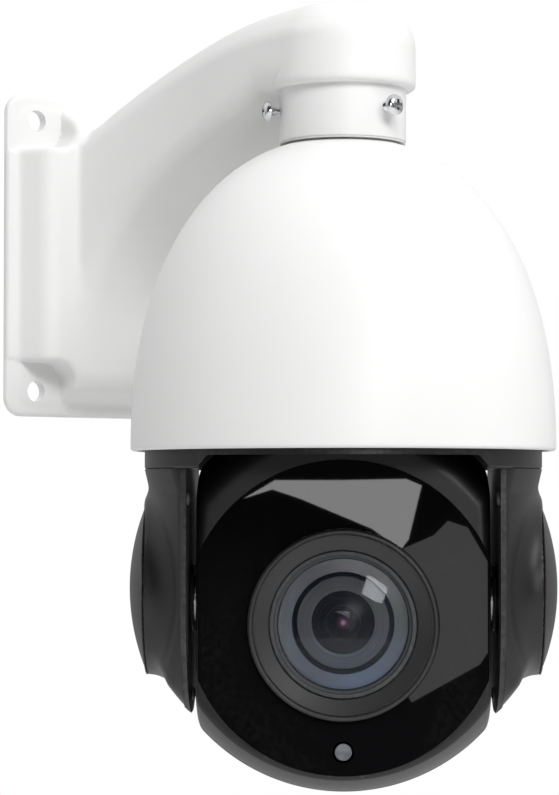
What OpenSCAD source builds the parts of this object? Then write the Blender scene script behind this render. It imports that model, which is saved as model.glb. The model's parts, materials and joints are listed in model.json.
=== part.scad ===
// Pan-tilt-zoom dome camera on a gooseneck wall bracket.
// Units are millimetres, +Z is up. The origin is the centre of the wall plate's back face:
// the wall is the plane Y = 0 and the arm reaches out towards -Y.
// Heights named *_h are measured from the dome's lower rim.

/* [Wall bracket] */
// Width of the wall plate
plate_w = 131; // [120:1:150]
// Height of the wall plate
plate_h = 134; // [125:1:150]
// Thickness of the plate's flange
plate_t = 4; // [3:0.5:6]
// Corner radius of the plate
plate_r = 6; // [3:0.5:9]
// Hole spacing across the plate
hole_dx = 102; // [96:1:110]
// Hole spacing up the plate
hole_dz = 113; // [106:1:116]
// Diameter of the wall screw holes
hole_d = 8.8; // [6:0.1:9.5]
// Height of the raised pedestal above the wall
pedestal_t = 17; // [14:0.5:22]
// Distance from the wall to the pan axis
reach = 138; // [125:1:165]
// Wall thickness of the casting
cast_t = 4; // [3:0.5:5]
// Radius of the arm's rounded nose
nose_r = 28.5; // [27:0.5:32]
// Length of the sleeve under the nose
sleeve_len = 20.6; // [18:0.2:26]

/* [Neck] */
// Outer radius of the neck tube on the dome
stub_r = 21.5; // [20:0.1:22.5]
// Wall thickness of the neck tube
stub_t = 4.5; // [3.5:0.5:6]
// Radial gap between the neck tube and the sleeve
neck_gap = 0.25; // [0.15:0.05:0.4]
// Wall thickness of the sleeve
sleeve_t = 3; // [2.5:0.5:4]
// Distance that the neck screws' heads stand off the sleeve
screw_standoff = 4; // [0:0.5:5]

/* [Dome] */
// Radius of the dome at its rim
dome_r = 82.5; // [80:0.5:100]
// Height of the dome from its rim to its flat top
dome_h = 119.6; // [118:0.2:140]
// Wall thickness of the dome
dome_t = 3; // [2.5:0.25:3.5]
// Drop from the plate's centre to the dome's rim
rim_drop = 82.5; // [70:0.5:100]

/* [Turntable] */
// Direction that the camera faces at rest, in degrees from straight out
rest_pan = -42; // [-180:1:180]
// Outer radius of the turntable's band
band_r = 77; // [75:0.5:77.5]
// Depth of the band below the rim
band_drop = 7; // [5:0.5:10]
// Distance from the pan axis to an arm's inner face
arm_x = 58.5; // [58:0.5:60]
// Wall thickness of the turntable and arms
tub_t = 2.5; // [2:0.25:3]
// Radius of the round end of an arm
arm_r = 45; // [42:0.5:46]
// Radius of the round ear on an arm
ear_r = 34; // [30:0.5:36]

/* [Head] */
// Radius of the ball-shaped head
head_r = 74.5; // [72:0.5:75]
// Drop from the rim to the tilt axis
tilt_drop = 56.7; // [56:0.5:70]
// Half width of the head between its flat sides
head_x = 55.5; // [53:0.5:55.5]
// Wall thickness of the head shells
head_t = 2.5; // [2:0.25:3]
// Distance from the tilt axis to the front glass's face
glass_y = 33; // [30:0.5:36]
// Radius of the front glass
glass_r = 59.2; // [56:0.2:60]
// Distance that the glass is centred below the tilt axis
glass_drop = 6.2; // [5:0.1:7]
// Radius of the ring round the lens
lens_ring_r = 36; // [33:0.5:38]
// Distance that the lens is centred below the glass's centre
lens_drop = 2.8; // [2:0.1:4]

/* [Drives] */
// Radius of the pulley on the pan shaft
pan_pulley_r = 30; // [26:0.5:30]
// Radius of the pulley on the tilt axle
tilt_pulley_r = 20; // [16:0.5:20]
// Radius of both motor pulleys
motor_pulley_r = 6; // [5:0.5:7]
// Distance from the pan axis to the pan motor's axis
pan_motor_y = 38; // [38:0.5:39]
// Height of the tilt motor's axis above the rim
tilt_motor_h = 42; // [42:0.5:43]
// Radius of both motors
motor_r = 17.5; // [14:0.5:17.5]
// Radial clearance of a running fit
run_gap = 0.05; // [0.02:0.01:0.08]

/* [Hidden] */
$fn = 96;
eps = 0.01;
tilt_h = -tilt_drop;

// Screw sizes: shank radius, head radius, head height
m4 = [1.9, 4.0, 3.1];
m3 = [1.4, 2.75, 2.0];
hole_gap = 0.1;

// Heights above the rim
neck_seal_t = 0.5;
sleeve_low_h = dome_h + neck_seal_t;
sleeve_top_h = sleeve_low_h + sleeve_len;
nose_h = 32.6;
nose_top_h = sleeve_top_h + nose_h;
stub_top_h = sleeve_top_h - 2;
neck_screw_h = sleeve_low_h + 11.9;
ceiling_h = dome_h - 7;
flange_gasket_t = 1;
stub_flange_t = 4;
stub_flange_h = ceiling_h - flange_gasket_t - stub_flange_t;
stub_flange_r = stub_r + 7.5;
flange_screw_r = stub_r + 4;
flange_screw_len = 8;

// Turntable
deck_low_h = 20;
deck_t = 3;
deck_h = deck_low_h + deck_t;
notch_h = -2.2;
notch_x = 50;
notch_foot_x = 54;

// Pan drive, from the deck up
pan_flange_t = 3;
shaft_r = 10;
shaft_bore_r = 7;
pan_shaft_screw_r = 18;
pan_pulley_h = tilt_motor_h + motor_r + 1.5;
pan_pulley_t = 7;
chassis_h = pan_pulley_h + pan_pulley_t + 2;
chassis_t = 2;
chassis_top_h = chassis_h + chassis_t;
chassis_r = 66;
chassis_screw_r = 60;
chassis_hole_r = 15;
pan_motor_t = 16;
bearing_r = 16;
bearing_t = 7;
bearing_inner_r = 11.4;
bearing_outer_r = 14.5;
ball_r = 1.5;
ball_count = 12;
bearing1_h = chassis_top_h + 2;
bearing2_h = bearing1_h + bearing_t + 3;
shaft_nut_h = bearing2_h + bearing_t;
shaft_nut_t = 2.5;
housing_top_h = shaft_nut_h + shaft_nut_t + 0.5;
bearing_housing_r = bearing_r + 3;
housing_ear_r = 22.5;
housing_flange_t = 3;
slip_flange_t = 2.5;
slip_r = 6.2;
board_h = housing_top_h + 5;
board_t = 1.6;
board_r = 43;
standoff_r = 38;

// Belts
belt_gap = 0.1;
belt_t = 1.3;
belt_w = 5;

// Tilt drive, along the tilt axis
cover_t = 2;
cover_screw_len = 5;
bush_r = 11;
axle_r = 9;
axle_bore_r = 6;
tilt_pulley_x = 64;
tilt_pulley_t = 6;
tilt_motor_x = 36;
tilt_motor_len = 22;
motor_plate_t = 2;
arm_roof_t = 3;
arm_screw_x = 64;
arm_screw_y = 32;
ear_h = tilt_h + 4.2;
ear_x = 75.5;
ear_cap_rise = 7.2;
arm_taper = 2.3;
slant_x = 58;
slant_r = 45;
slant_out_x = 67.3;
slant_out_r = 30;

// Head, along the lens axis (y is measured from the tilt axis, the lens looks along -y)
split_y = -14;
glass_t = 3;
glass_seal_t = 0.8;
bezel = 1;
glass_ledge = 3.4;
lens_z = -glass_drop - lens_drop;
barrel_r = 28;
barrel_front_y = -31.2;
barrel_back_y = 0;
element_r = 25;
cell_r = 17.7;
cell_bore_r = 19.5;
zoom_lens_r = 12.4;
zoom_y = -14;
focus_y = 20;
module_w = 52;
module_h = 56;
module_back_y = 44;
module_t = 2.5;
boss_x = 38;
boss_top = 28;
boss_low = 42;
boss_r = 4;
boss_len = 14;
head_screw_len = 20;
window_r = 3.2;
window_drop = 50.4;

// ---- places ----
module at_pan_axis(h = 0) translate([0, -reach, -rim_drop + h]) children();
module panned(h = 0) at_pan_axis(h) rotate([0, 0, rest_pan]) children();
module in_head() panned(tilt_h) children();
// turns +Z to point along +X, along +Y or along -Y
module along_x() rotate([0, 90, 0]) children();
module along_y() rotate([-90, 0, 0]) children();
module on_lens_axis(y = 0) in_head() translate([0, y, lens_z]) along_y() children();

// ---- shared shapes ----
module tube(r_out, r_in, h) {
    difference() {
        cylinder(r = r_out, h = h);
        translate([0, 0, -1]) cylinder(r = r_in, h = h + 2);
    }
}

// A pan-head screw: its head sits on z = 0 and its shank points down
module screw(size, len) {
    translate([0, 0, -len]) cylinder(r = size[0], h = len, $fn = 32);
    difference() {
        rotate_extrude($fn = 48) polygon([
            [0, 0], [size[1], 0], [size[1], size[2] * 0.45],
            [size[1] * 0.86, size[2] * 0.8], [size[1] * 0.5, size[2]], [0, size[2]]
        ]);
        for (a = [0, 90]) rotate([0, 0, a])
            translate([-size[1] * 0.55, -size[0] * 0.25, size[2] * 0.5])
                cube([size[1] * 1.1, size[0] * 0.5, size[2]]);
    }
}

module rounded_rect(w, h, r) {
    square([w - 2 * r, h], center = true);
    square([w, h - 2 * r], center = true);
    for (x = [-1, 1], y = [-1, 1]) translate([x * (w / 2 - r), y * (h / 2 - r)]) circle(r);
}

// Outline of a belt round a big and a small pulley, centred on the big one, the small one at +x
function belt_points(r1, r2, dist, steps = 48) =
    let (a = acos((r1 - r2) / dist))
    concat(
        [for (i = [0 : steps]) let (t = a + (360 - 2 * a) * i / steps) r1 * [cos(t), sin(t)]],
        [for (i = [0 : steps]) let (t = -a + 2 * a * i / steps)
            [dist + r2 * cos(t), r2 * sin(t)]]
    );

module belt(r1, r2, dist) {
    linear_extrude(belt_w) difference() {
        polygon(belt_points(r1 + belt_gap + belt_t, r2 + belt_gap + belt_t, dist));
        polygon(belt_points(r1 + belt_gap, r2 + belt_gap, dist));
    }
}

// ---- wall bracket ----
arm_root_y = -pedestal_t;
arm_root_x = 40;
arm_root_h = 39.5;
arm_fall = 33;
arm_top_root_h = nose_top_h - arm_fall;
arm_crown = 3;
arm_flare_y = -85;

// A cubic curve through p[0] and p[3]
function bezier(p, t) =
    pow(1 - t, 3) * p[0] + 3 * t * pow(1 - t, 2) * p[1] + 3 * t * t * (1 - t) * p[2] + pow(t, 3) * p[3];

// Underside of the arm, from the pedestal to the sleeve, as [y, height above the rim]
function underside(shift) = let (
    p = [
        [arm_root_y + 2, arm_root_h], [arm_root_y - 4, arm_root_h + 72],
        [-reach + 66, sleeve_top_h - 27], [-reach + stub_r, sleeve_top_h]
    ])
    [for (i = [0 : 16]) bezier(p, i / 16) + shift * [0.85, 0.85]];

module arm_side(wall) {
    polygon(concat(
        underside(wall),
        [[-reach, sleeve_top_h + wall], [-reach, nose_top_h - wall - 1],
         [-reach / 2, (nose_top_h + arm_top_root_h) / 2 - wall + arm_crown],
         [arm_root_y + 2, arm_top_root_h - wall]],
        [[arm_root_y + 2 + wall, arm_top_root_h - wall], [arm_root_y + 2 + wall, arm_root_h + wall]]
    ));
}

// Half width of the arm: straight near the nose, flaring to the pedestal
function arm_half(y, root, tip) =
    y < arm_flare_y ? tip
    : tip + (root - tip) * pow((y - arm_flare_y) / (arm_root_y + 2 - arm_flare_y), 2);

module arm_plan(root, tip) {
    right = [for (i = [0 : 12]) let (y = arm_flare_y + (arm_root_y + 8 - arm_flare_y) * i / 12)
        [arm_half(min(y, arm_root_y + 2), root, tip), y]];
    left = [for (i = [12 : -1 : 0]) [-right[i][0], right[i][1]]];
    polygon(concat([[tip, -reach]], right, left, [[-tip, -reach]]));
}

// Section across the arm, with its top edges rounded off in steps; the origin is the top's middle
module arm_section(tip) {
    right = [[tip + 60, -120], [tip + 12, -40], [tip, -17], [tip - 2.5, -9], [tip - 8.5, -3], [tip - 17, 0]];
    polygon(concat([[tip + 60, -220]], right, [for (i = [5 : -1 : 0]) [-right[i][0], right[i][1]]],
        [[-tip - 60, -220]]));
}

module arm_body(wall, root, tip) {
    run = arm_root_y + 2 + reach;
    fall = atan((nose_top_h - arm_top_root_h) / run);
    intersection() {
        translate([-60, 0, -rim_drop]) rotate([90, 0, 90]) linear_extrude(120) arm_side(wall);
        translate([0, 0, -rim_drop]) linear_extrude(220) arm_plan(root, tip);
        at_pan_axis(nose_top_h - wall + arm_crown / 2) rotate([-fall, 0, 0]) translate([0, 190, 0])
            rotate([90, 0, 0]) linear_extrude(230) arm_section(tip);
    }
}

module nose(r, low, top, fillet) {
    at_pan_axis() rotate_extrude() polygon(concat(
        [[0, low], [r, low]],
        [for (a = [0 : 10 : 90]) [r - fillet + fillet * cos(a), top - fillet + fillet * sin(a)]],
        [[0, top]]
    ));
}

// A block whose four sides lean in from base to top
module pedestal() {
    lean = 9;
    w = plate_w - 12;
    h = plate_h - 12;
    intersection() {
        translate([0, 0, -h / 2]) linear_extrude(h) polygon([
            [-w / 2, -plate_t], [w / 2, -plate_t],
            [w / 2 - lean, -pedestal_t], [-w / 2 + lean, -pedestal_t]
        ]);
        translate([-w / 2, 0, 0]) rotate([90, 0, 90]) linear_extrude(w) polygon([
            [-plate_t, -h / 2], [-plate_t, h / 2],
            [-pedestal_t, h / 2 - lean], [-pedestal_t, -h / 2 + lean]
        ]);
    }
}

// Room for a wall screw's head at each corner of the plate
module corner_pockets() {
    inset = 14.5;
    round = 8;
    depth = 26;
    for (x = [-1, 1], z = [-1, 1]) scale([x, 1, z])
        translate([hole_dx / 2 - inset, -depth - plate_t, hole_dz / 2 - inset]) {
            translate([round, 0, 0]) cube([40, depth, 40]);
            translate([0, 0, round]) cube([40, depth, 40]);
            translate([round, 0, round]) along_y() cylinder(r = round, h = depth);
        }
}

module wall_bracket() {
    cavity_w = 60;
    cavity_h = 84;
    color("white") difference() {
        union() {
            translate([0, 0, 0]) rotate([90, 0, 0]) linear_extrude(plate_t)
                rounded_rect(plate_w, plate_h, plate_r);
            translate([0, eps, 0]) pedestal();
            arm_body(0, arm_root_x, nose_r);
            nose(nose_r, sleeve_top_h, nose_top_h, 17);
            at_pan_axis(sleeve_low_h)
                cylinder(r = stub_r + neck_gap + sleeve_t, h = sleeve_len + 2);
        }
        corner_pockets();
        translate([-cavity_w / 2, -pedestal_t + cast_t, -cavity_h / 2])
            cube([cavity_w, pedestal_t, cavity_h]);
        arm_body(cast_t, arm_root_x - 10, nose_r - cast_t);
        at_pan_axis(sleeve_low_h - 1) cylinder(r = stub_r + neck_gap, h = sleeve_len + 2);
        at_pan_axis(sleeve_top_h) cylinder(r = nose_r - cast_t - 4, h = 24);
        for (x = [-1, 1], z = [-1, 1]) translate([x * hole_dx / 2, 0, z * hole_dz / 2])
            translate([0, -pedestal_t, 0]) along_y() cylinder(d = hole_d, h = pedestal_t + 5);
        neck_screw_places() translate([0, 0, -2 * sleeve_t])
            cylinder(r = m4[0] + hole_gap, h = 3 * sleeve_t, $fn = 32);
    }
}

// Three radial places on the sleeve's outside, with +Z pointing outwards
module neck_screw_places() {
    for (a = [30, 150, 270]) at_pan_axis(neck_screw_h) rotate([0, 0, a])
        translate([stub_r + neck_gap + sleeve_t, 0, 0]) along_x() children();
}

module neck_screws() {
    color("silver") neck_screw_places() translate([0, 0, screw_standoff]) screw(m4, 12);
}

module neck_stub() {
    color("gainsboro") difference() {
        union() {
            at_pan_axis(stub_flange_h) cylinder(r = stub_flange_r, h = stub_flange_t);
            at_pan_axis(stub_flange_h) cylinder(r = stub_r, h = stub_top_h - stub_flange_h);
        }
        at_pan_axis(stub_flange_h - 1)
            cylinder(r = stub_r - stub_t, h = stub_top_h - stub_flange_h + 2);
        neck_screw_places() translate([0, 0, -4 * sleeve_t])
            cylinder(r = m4[0] + hole_gap, h = 4 * sleeve_t, $fn = 32);
        flange_screw_places() translate([0, 0, -20])
            cylinder(r = m4[0] + hole_gap, h = 24, $fn = 32);
    }
}

module neck_seal() {
    color("dimgray") at_pan_axis(dome_h)
        tube(stub_r + neck_gap + sleeve_t - 0.3, stub_r + neck_gap, neck_seal_t);
}

module flange_gasket() {
    color("black") difference() {
        at_pan_axis(ceiling_h - flange_gasket_t)
            tube(stub_flange_r, stub_r + neck_gap, flange_gasket_t);
        flange_screw_places() translate([0, 0, -20])
            cylinder(r = m4[0] + hole_gap, h = 24, $fn = 32);
    }
}

// Four places under the neck tube's flange, with +Z pointing down
module flange_screw_places() {
    for (a = [45 : 90 : 315]) at_pan_axis(stub_flange_h) rotate([0, 0, a])
        translate([flange_screw_r, 0, 0]) rotate([180, 0, 0]) children();
}

module flange_screws() {
    color("silver") flange_screw_places() screw(m4, flange_screw_len);
}

// ---- dome ----
dome_power = 2.25;
dome_top_h = dome_h + 2.4;
// Radius of the dome's outside at height h above the rim
function dome_radius(h) =
    dome_r * pow(1 - pow(h / dome_top_h, dome_power), 1 / dome_power);

function dome_curve(low, high, wall, steps) =
    [for (i = [0 : steps]) let (h = low + (high - low) * sin(90 * i / steps))
        [dome_radius(h) - wall, h]];

module dome_solid() {
    at_pan_axis() rotate_extrude() polygon(concat(
        [[0, 0], [dome_r - 1, 0]], dome_curve(1, dome_h, 0, 28), [[0, dome_h]]
    ));
}

module dome_housing() {
    color("white") union() {
        difference() {
            dome_solid();
            at_pan_axis() rotate_extrude() polygon(concat(
                [[0, -1], [dome_r - dome_t, -1]],
                dome_curve(0, ceiling_h, dome_t, 28), [[0, ceiling_h]]
            ));
            at_pan_axis(ceiling_h - 1) cylinder(r = stub_r + 0.1, h = 20);
            flange_screw_places() translate([0, 0, -flange_screw_len - 0.3])
                cylinder(r = m4[0] + hole_gap, h = flange_screw_len, $fn = 32);
        }
        difference() {
            intersection() {
                union() for (a = [30, 150, 270]) at_pan_axis(chassis_top_h) rotate([0, 0, a])
                    translate([chassis_screw_r, 0, 0]) cylinder(r = 4.5, h = 24);
                dome_solid();
            }
            chassis_screw_places() translate([0, 0, -10])
                cylinder(r = m3[0] + hole_gap, h = 12, $fn = 32);
        }
    }
}

module pan_seal() {
    seal_h = 4;
    color("black") at_pan_axis(seal_h) tube(dome_radius(seal_h) - dome_t - 0.02, band_r + 0.35, 3);
}

// ---- fixed chassis inside the dome ----
module chassis_screw_places() {
    for (a = [30, 150, 270]) at_pan_axis(chassis_h) rotate([0, 0, a])
        translate([chassis_screw_r, 0, 0]) rotate([180, 0, 0]) children();
}

module chassis_screws() {
    color("silver") chassis_screw_places() screw(m3, 8);
}

module housing_screw_places() {
    for (a = [30, 150, 210, 330]) at_pan_axis(chassis_top_h + housing_flange_t) rotate([0, 0, a])
        translate([housing_ear_r, 0, 0]) children();
}

module standoff_places() {
    for (a = [30, 150, 270]) at_pan_axis(chassis_top_h) rotate([0, 0, a])
        translate([standoff_r, 0, 0]) children();
}

module chassis_plate() {
    color("silver") difference() {
        at_pan_axis(chassis_h) cylinder(r = chassis_r, h = chassis_t);
        at_pan_axis(chassis_h - 1) cylinder(r = chassis_hole_r, h = chassis_t + 2);
        at_pan_axis(chassis_h - 1) translate([0, pan_motor_y, 0])
            cylinder(r = motor_pulley_r + 2, h = chassis_t + 2);
        chassis_screw_places() translate([0, 0, -5])
            cylinder(r = m3[0] + hole_gap, h = 10, $fn = 32);
        housing_screw_places() translate([0, 0, -10])
            cylinder(r = m3[0] + hole_gap, h = 12, $fn = 32);
        for (a = [200, 250, 290, 340]) at_pan_axis(chassis_h - 1) rotate([0, 0, a])
            translate([48, 0, 0]) cylinder(r = 6, h = chassis_t + 2);
    }
}

module bearing_housing() {
    color("lightgray") difference() {
        union() {
            at_pan_axis(chassis_top_h)
                cylinder(r = bearing_housing_r, h = housing_top_h - chassis_top_h);
            for (a = [30, 150, 210, 330]) at_pan_axis(chassis_top_h) rotate([0, 0, a]) {
                translate([housing_ear_r, 0, 0]) cylinder(r = 4.5, h = housing_flange_t);
                translate([0, -4.5, 0]) cube([housing_ear_r, 9, housing_flange_t]);
            }
        }
        at_pan_axis(bearing1_h) cylinder(r = bearing_r, h = bearing_t);
        at_pan_axis(chassis_top_h - 1) cylinder(r = bearing_outer_r, h = 40);
        at_pan_axis(bearing2_h) cylinder(r = bearing_r, h = 40);
        housing_screw_places() translate([0, 0, -10])
            cylinder(r = m3[0] + hole_gap, h = 10.01, $fn = 32);
        housing_screw_places() cylinder(r = m3[1] + 0.2, h = 8, $fn = 32);
    }
}

module bearing_housing_screws() {
    color("silver") housing_screw_places() screw(m3, 5);
}

module each_bearing() {
    for (h = [bearing1_h, bearing2_h]) at_pan_axis(h) children();
}

module pan_bearing_outer_rings() {
    color("silver") each_bearing() tube(bearing_r, bearing_outer_r, bearing_t);
}

module main_board() {
    color("darkgreen") difference() {
        at_pan_axis(board_h) cylinder(r = board_r, h = board_t);
        standoff_places() cylinder(r = m3[0] + hole_gap, h = 60, $fn = 32);
        at_pan_axis(board_h - 1) translate([0, -18, 0]) cylinder(r = 5, h = board_t + 2);
    }
}

module main_board_parts() {
    color("dimgray") at_pan_axis(board_h + board_t) {
        translate([-14, 8, 0]) cube([14, 14, 1.4]);
        translate([6, 10, 0]) cube([10, 12, 1.2]);
        translate([-32, -12, 0]) cube([8, 16, 5]);
        translate([24, -12, 0]) cube([8, 16, 5]);
        translate([-8, 30, 0]) cube([18, 6, 4]);
        translate([-14, -34, 0]) cylinder(r = 4, h = 3);
        translate([12, -32, 0]) cylinder(r = 4, h = 3);
    }
}

module board_standoffs() {
    color("goldenrod") standoff_places() difference() {
        cylinder(r = 3.2, h = board_h - chassis_top_h, $fn = 6);
        translate([0, 0, board_h - chassis_top_h - 6])
            cylinder(r = m3[0] + hole_gap, h = 7, $fn = 32);
    }
}

module board_screws() {
    color("silver") standoff_places() translate([0, 0, board_h - chassis_top_h + board_t])
        screw(m3, 6);
}

module slip_ring_body() {
    color("dimgray") at_pan_axis(housing_top_h) {
        cylinder(r = bearing_housing_r - 1, h = slip_flange_t);
        translate([0, 0, -22]) cylinder(r = slip_r, h = 22 + eps);
    }
}

module pan_motor() {
    color("dimgray") at_pan_axis(chassis_top_h) translate([0, pan_motor_y, 0]) difference() {
        cylinder(r = motor_r, h = pan_motor_t);
        translate([0, 0, -1]) cylinder(r = 4, h = pan_motor_t - 1);
    }
}

module pan_motor_pulley() {
    color("silver") at_pan_axis(pan_pulley_h) translate([0, pan_motor_y, 0]) {
        cylinder(r = motor_pulley_r, h = 6);
        cylinder(r = 2.5, h = chassis_top_h - pan_pulley_h + pan_motor_t - 4);
    }
}

module pan_belt() {
    color("black") at_pan_axis(pan_pulley_h + 0.75) rotate([0, 0, 90])
        belt(pan_pulley_r, motor_pulley_r, pan_motor_y);
}

// ---- turntable, turning on the pan axis ----
module arm_screw_places() {
    for (x = [-1, 1], y = [-1, 1]) panned(-band_drop) translate([x * arm_screw_x, y * arm_screw_y, 0])
        children();
}

module pan_shaft_screw_places() {
    for (a = [45 : 90 : 315]) panned(deck_h + pan_flange_t) rotate([0, 0, a])
        translate([pan_shaft_screw_r, 0, 0]) children();
}

arm_pad_t = 5;
belt_slot_y = 16;
belt_slot_x = 9;

module turntable() {
    tall = deck_h + band_drop;
    color([0.06, 0.06, 0.06]) difference() {
        panned(-band_drop) difference() {
            cylinder(r = band_r, h = tall);
            // hollow between the two pads that the arms hang from
            translate([0, 0, -1]) intersection() {
                cylinder(r = band_r - tub_t, h = deck_low_h + band_drop + 1);
                translate([-arm_x, -band_r, 0])
                    cube([2 * arm_x, 2 * band_r, deck_low_h + band_drop + 1]);
            }
            // shallow notch, front and back, so that the head clears the band
            rotate([90, 0, 0]) translate([0, 0, -band_r - 1]) linear_extrude(2 * band_r + 2) polygon([
                [-notch_foot_x - 1, -1], [notch_foot_x + 1, -1],
                [notch_x, notch_h + band_drop], [-notch_x, notch_h + band_drop]
            ]);
            translate([0, 0, -1]) cylinder(r = shaft_bore_r + 1, h = tall + 2);
            for (x = [-1, 1]) translate([x * (tilt_pulley_x + tilt_pulley_t / 2), 0, tall / 2])
                cube([belt_slot_x, 2 * belt_slot_y, tall + 2], center = true);
        }
        arm_screw_places() {
            translate([0, 0, -1]) cylinder(r = m4[0] + hole_gap, h = 60, $fn = 32);
            translate([0, 0, arm_pad_t]) cylinder(r = m4[1] + 0.3, h = 60, $fn = 48);
        }
        pan_shaft_screw_places() translate([0, 0, -10])
            cylinder(r = m3[0] + hole_gap, h = 12, $fn = 32);
    }
}

module arm_screws() {
    color("silver") arm_screw_places() translate([0, 0, arm_pad_t]) screw(m4, 12);
}

module pan_shaft() {
    top = shaft_nut_h + shaft_nut_t;
    color("silver") difference() {
        union() {
            panned(deck_h) cylinder(r = pan_shaft_screw_r + 5, h = pan_flange_t);
            panned(deck_h) cylinder(r = shaft_r, h = top - deck_h);
        }
        panned(deck_h - 1) cylinder(r = shaft_bore_r, h = top - deck_h + 2);
        pan_shaft_screw_places() translate([0, 0, -10])
            cylinder(r = m3[0] + hole_gap, h = 12, $fn = 32);
    }
}

module pan_shaft_screws() {
    color("silver") pan_shaft_screw_places() screw(m3, 6);
}

module pan_shaft_nut() {
    color("silver") panned(shaft_nut_h) tube(shaft_r + 3, shaft_r, shaft_nut_t);
}

module pan_pulley() {
    color("gainsboro") panned(pan_pulley_h) difference() {
        union() {
            cylinder(r = pan_pulley_r, h = pan_pulley_t);
            cylinder(r = bearing_inner_r, h = bearing1_h - pan_pulley_h);
        }
        translate([0, 0, -1]) cylinder(r = shaft_r, h = 40);
        for (a = [0 : 60 : 300]) rotate([0, 0, a]) translate([20.5, 0, -1])
            cylinder(r = 5, h = 20);
    }
}

module pan_bearing_inner_rings() {
    color("silver") each_bearing() tube(bearing_inner_r, shaft_r, bearing_t);
    color("silver") at_pan_axis(bearing1_h + bearing_t)
        tube(bearing_inner_r, shaft_r, bearing2_h - bearing1_h - bearing_t);
}

module pan_bearing_balls() {
    pitch_r = (bearing_inner_r + bearing_outer_r) / 2;
    color("silver") each_bearing() for (i = [0 : ball_count - 1]) rotate([0, 0, i * 360 / ball_count])
        translate([pitch_r, 0, bearing_t / 2]) sphere(r = ball_r, $fn = 24);
}

module slip_ring_rotor() {
    color("dimgray") panned(housing_top_h - 22 - 0.5) {
        translate([0, 0, -14]) cylinder(r = 3, h = 14);
        translate([0, 0, -8]) cylinder(r = shaft_bore_r - eps, h = 4);
    }
}

// ---- yoke arms ----
// Everything of an arm is drawn for the right side and mirrored for the left
module on_side(side) panned() scale([side, 1, 1]) children();

// Outline of an arm seen from the side: straight down to the tilt axis and round below it
module arm_outline(r, top) {
    translate([-r, tilt_h]) square([2 * r, top - tilt_h]);
    translate([0, tilt_h]) circle(r);
}

// Fills x0 to x1 behind the outline, which is drawn as [y, height]
module side_prism(x0, x1) {
    translate([x0, 0, 0]) rotate([90, 0, 90]) linear_extrude(x1 - x0) children();
}

// The round outside of an arm, narrowing a little below the band
module arm_round(wall) {
    rotate_extrude() polygon([
        [0, -band_drop], [band_r - wall, -band_drop], [band_r - arm_taper - wall, -band_drop - 10],
        [band_r - arm_taper - 0.5 - wall, -110], [0, -110]
    ]);
}

// The slanting underside of an arm, as the space above it
module above_slant(wall) {
    slope = (slant_r - slant_out_r) / (slant_out_x - slant_x);
    lift = wall * sqrt(1 + slope * slope);
    translate([0, 100, 0]) rotate([90, 0, 0]) linear_extrude(200) polygon([
        [slant_x - 10, tilt_h - slant_r - 10 * slope + lift],
        [slant_x + 30, tilt_h - slant_r + 30 * slope + lift],
        [slant_x + 30, 20], [slant_x - 10, 20]
    ]);
}

module arm_solid(x0, wall) {
    intersection() {
        arm_round(wall);
        side_prism(x0, 90) arm_outline(arm_r - wall, -band_drop);
        above_slant(wall);
    }
    translate([x0, 0, ear_h]) along_x() cylinder(r = ear_r - wall, h = ear_x - x0 - wall);
}

module yoke_arm(side) {
    color([0.07, 0.07, 0.07]) difference() {
        on_side(side) difference() {
            arm_solid(arm_x + cover_t, 0);
            difference() {
                translate([-eps, 0, 0]) arm_solid(arm_x + cover_t, tub_t);
                translate([0, 0, -band_drop - arm_roof_t]) linear_extrude(40)
                    square(200, center = true);
                for (y = [-1, 1]) translate([arm_screw_x, y * arm_screw_y, -band_drop - 9])
                    cylinder(r = 3.9, h = 9);
                cover_bosses(6);
            }
            translate([tilt_pulley_x + tilt_pulley_t / 2, 0, -band_drop])
                cube([belt_slot_x, 2 * belt_slot_y, 4 * arm_roof_t], center = true);
            cover_screw_places() translate([0, 0, -cover_screw_len - 0.4])
                cylinder(r = m3[0] + hole_gap, h = cover_screw_len + 1, $fn = 32);
        }
        arm_screw_places() translate([0, 0, -8]) cylinder(r = m4[0] + hole_gap, h = 10, $fn = 32);
    }
}

// Screw places on an arm's inner face, with +Z pointing to the head
module cover_screw_places() {
    for (p = [[-arm_r + 8, -18], [arm_r - 8, -18], [0, tilt_h - arm_r + 8]])
        translate([arm_x, p[0], p[1]]) rotate([0, -90, 0]) children();
}

module cover_bosses(len) {
    for (p = [[-arm_r + 8, -18], [arm_r - 8, -18], [0, tilt_h - arm_r + 8]])
        translate([arm_x + cover_t - 1, p[0], p[1]]) along_x() cylinder(r = 3.5, h = len + 1);
}

module arm_cover(side) {
    boss_r_out = bush_r + 3;
    color([0.05, 0.05, 0.05]) on_side(side) difference() {
        union() {
            intersection() {
                side_prism(arm_x, arm_x + cover_t) arm_outline(arm_r - 0.4, -band_drop);
                above_slant(0);
            }
            translate([arm_x, 0, tilt_h]) along_x() cylinder(r = boss_r_out, h = 5);
        }
        translate([arm_x - 1, 0, tilt_h]) along_x() cylinder(r = bush_r, h = 10);
        cover_screw_places() translate([0, 0, -cover_screw_len])
            cylinder(r = m3[0] + hole_gap, h = cover_screw_len + 1, $fn = 32);
    }
}

module cover_screws() {
    color("silver") for (s = [-1, 1]) on_side(s) cover_screw_places()
        screw([m3[0], m3[1], 1.2], cover_screw_len);
}

module ear_cap(side) {
    lens_r = (ear_r * ear_r + ear_cap_rise * ear_cap_rise) / (2 * ear_cap_rise);
    edge = asin(ear_r / lens_r);
    color([0.07, 0.07, 0.07]) on_side(side) translate([ear_x, 0, ear_h]) along_x() rotate_extrude()
        polygon(concat(
            [[0, 0], [ear_r, 0]],
            [for (i = [1 : 12]) let (a = edge * (1 - i / 12))
                [lens_r * sin(a), lens_r * cos(a) - lens_r + ear_cap_rise]]
        ));
}

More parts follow.
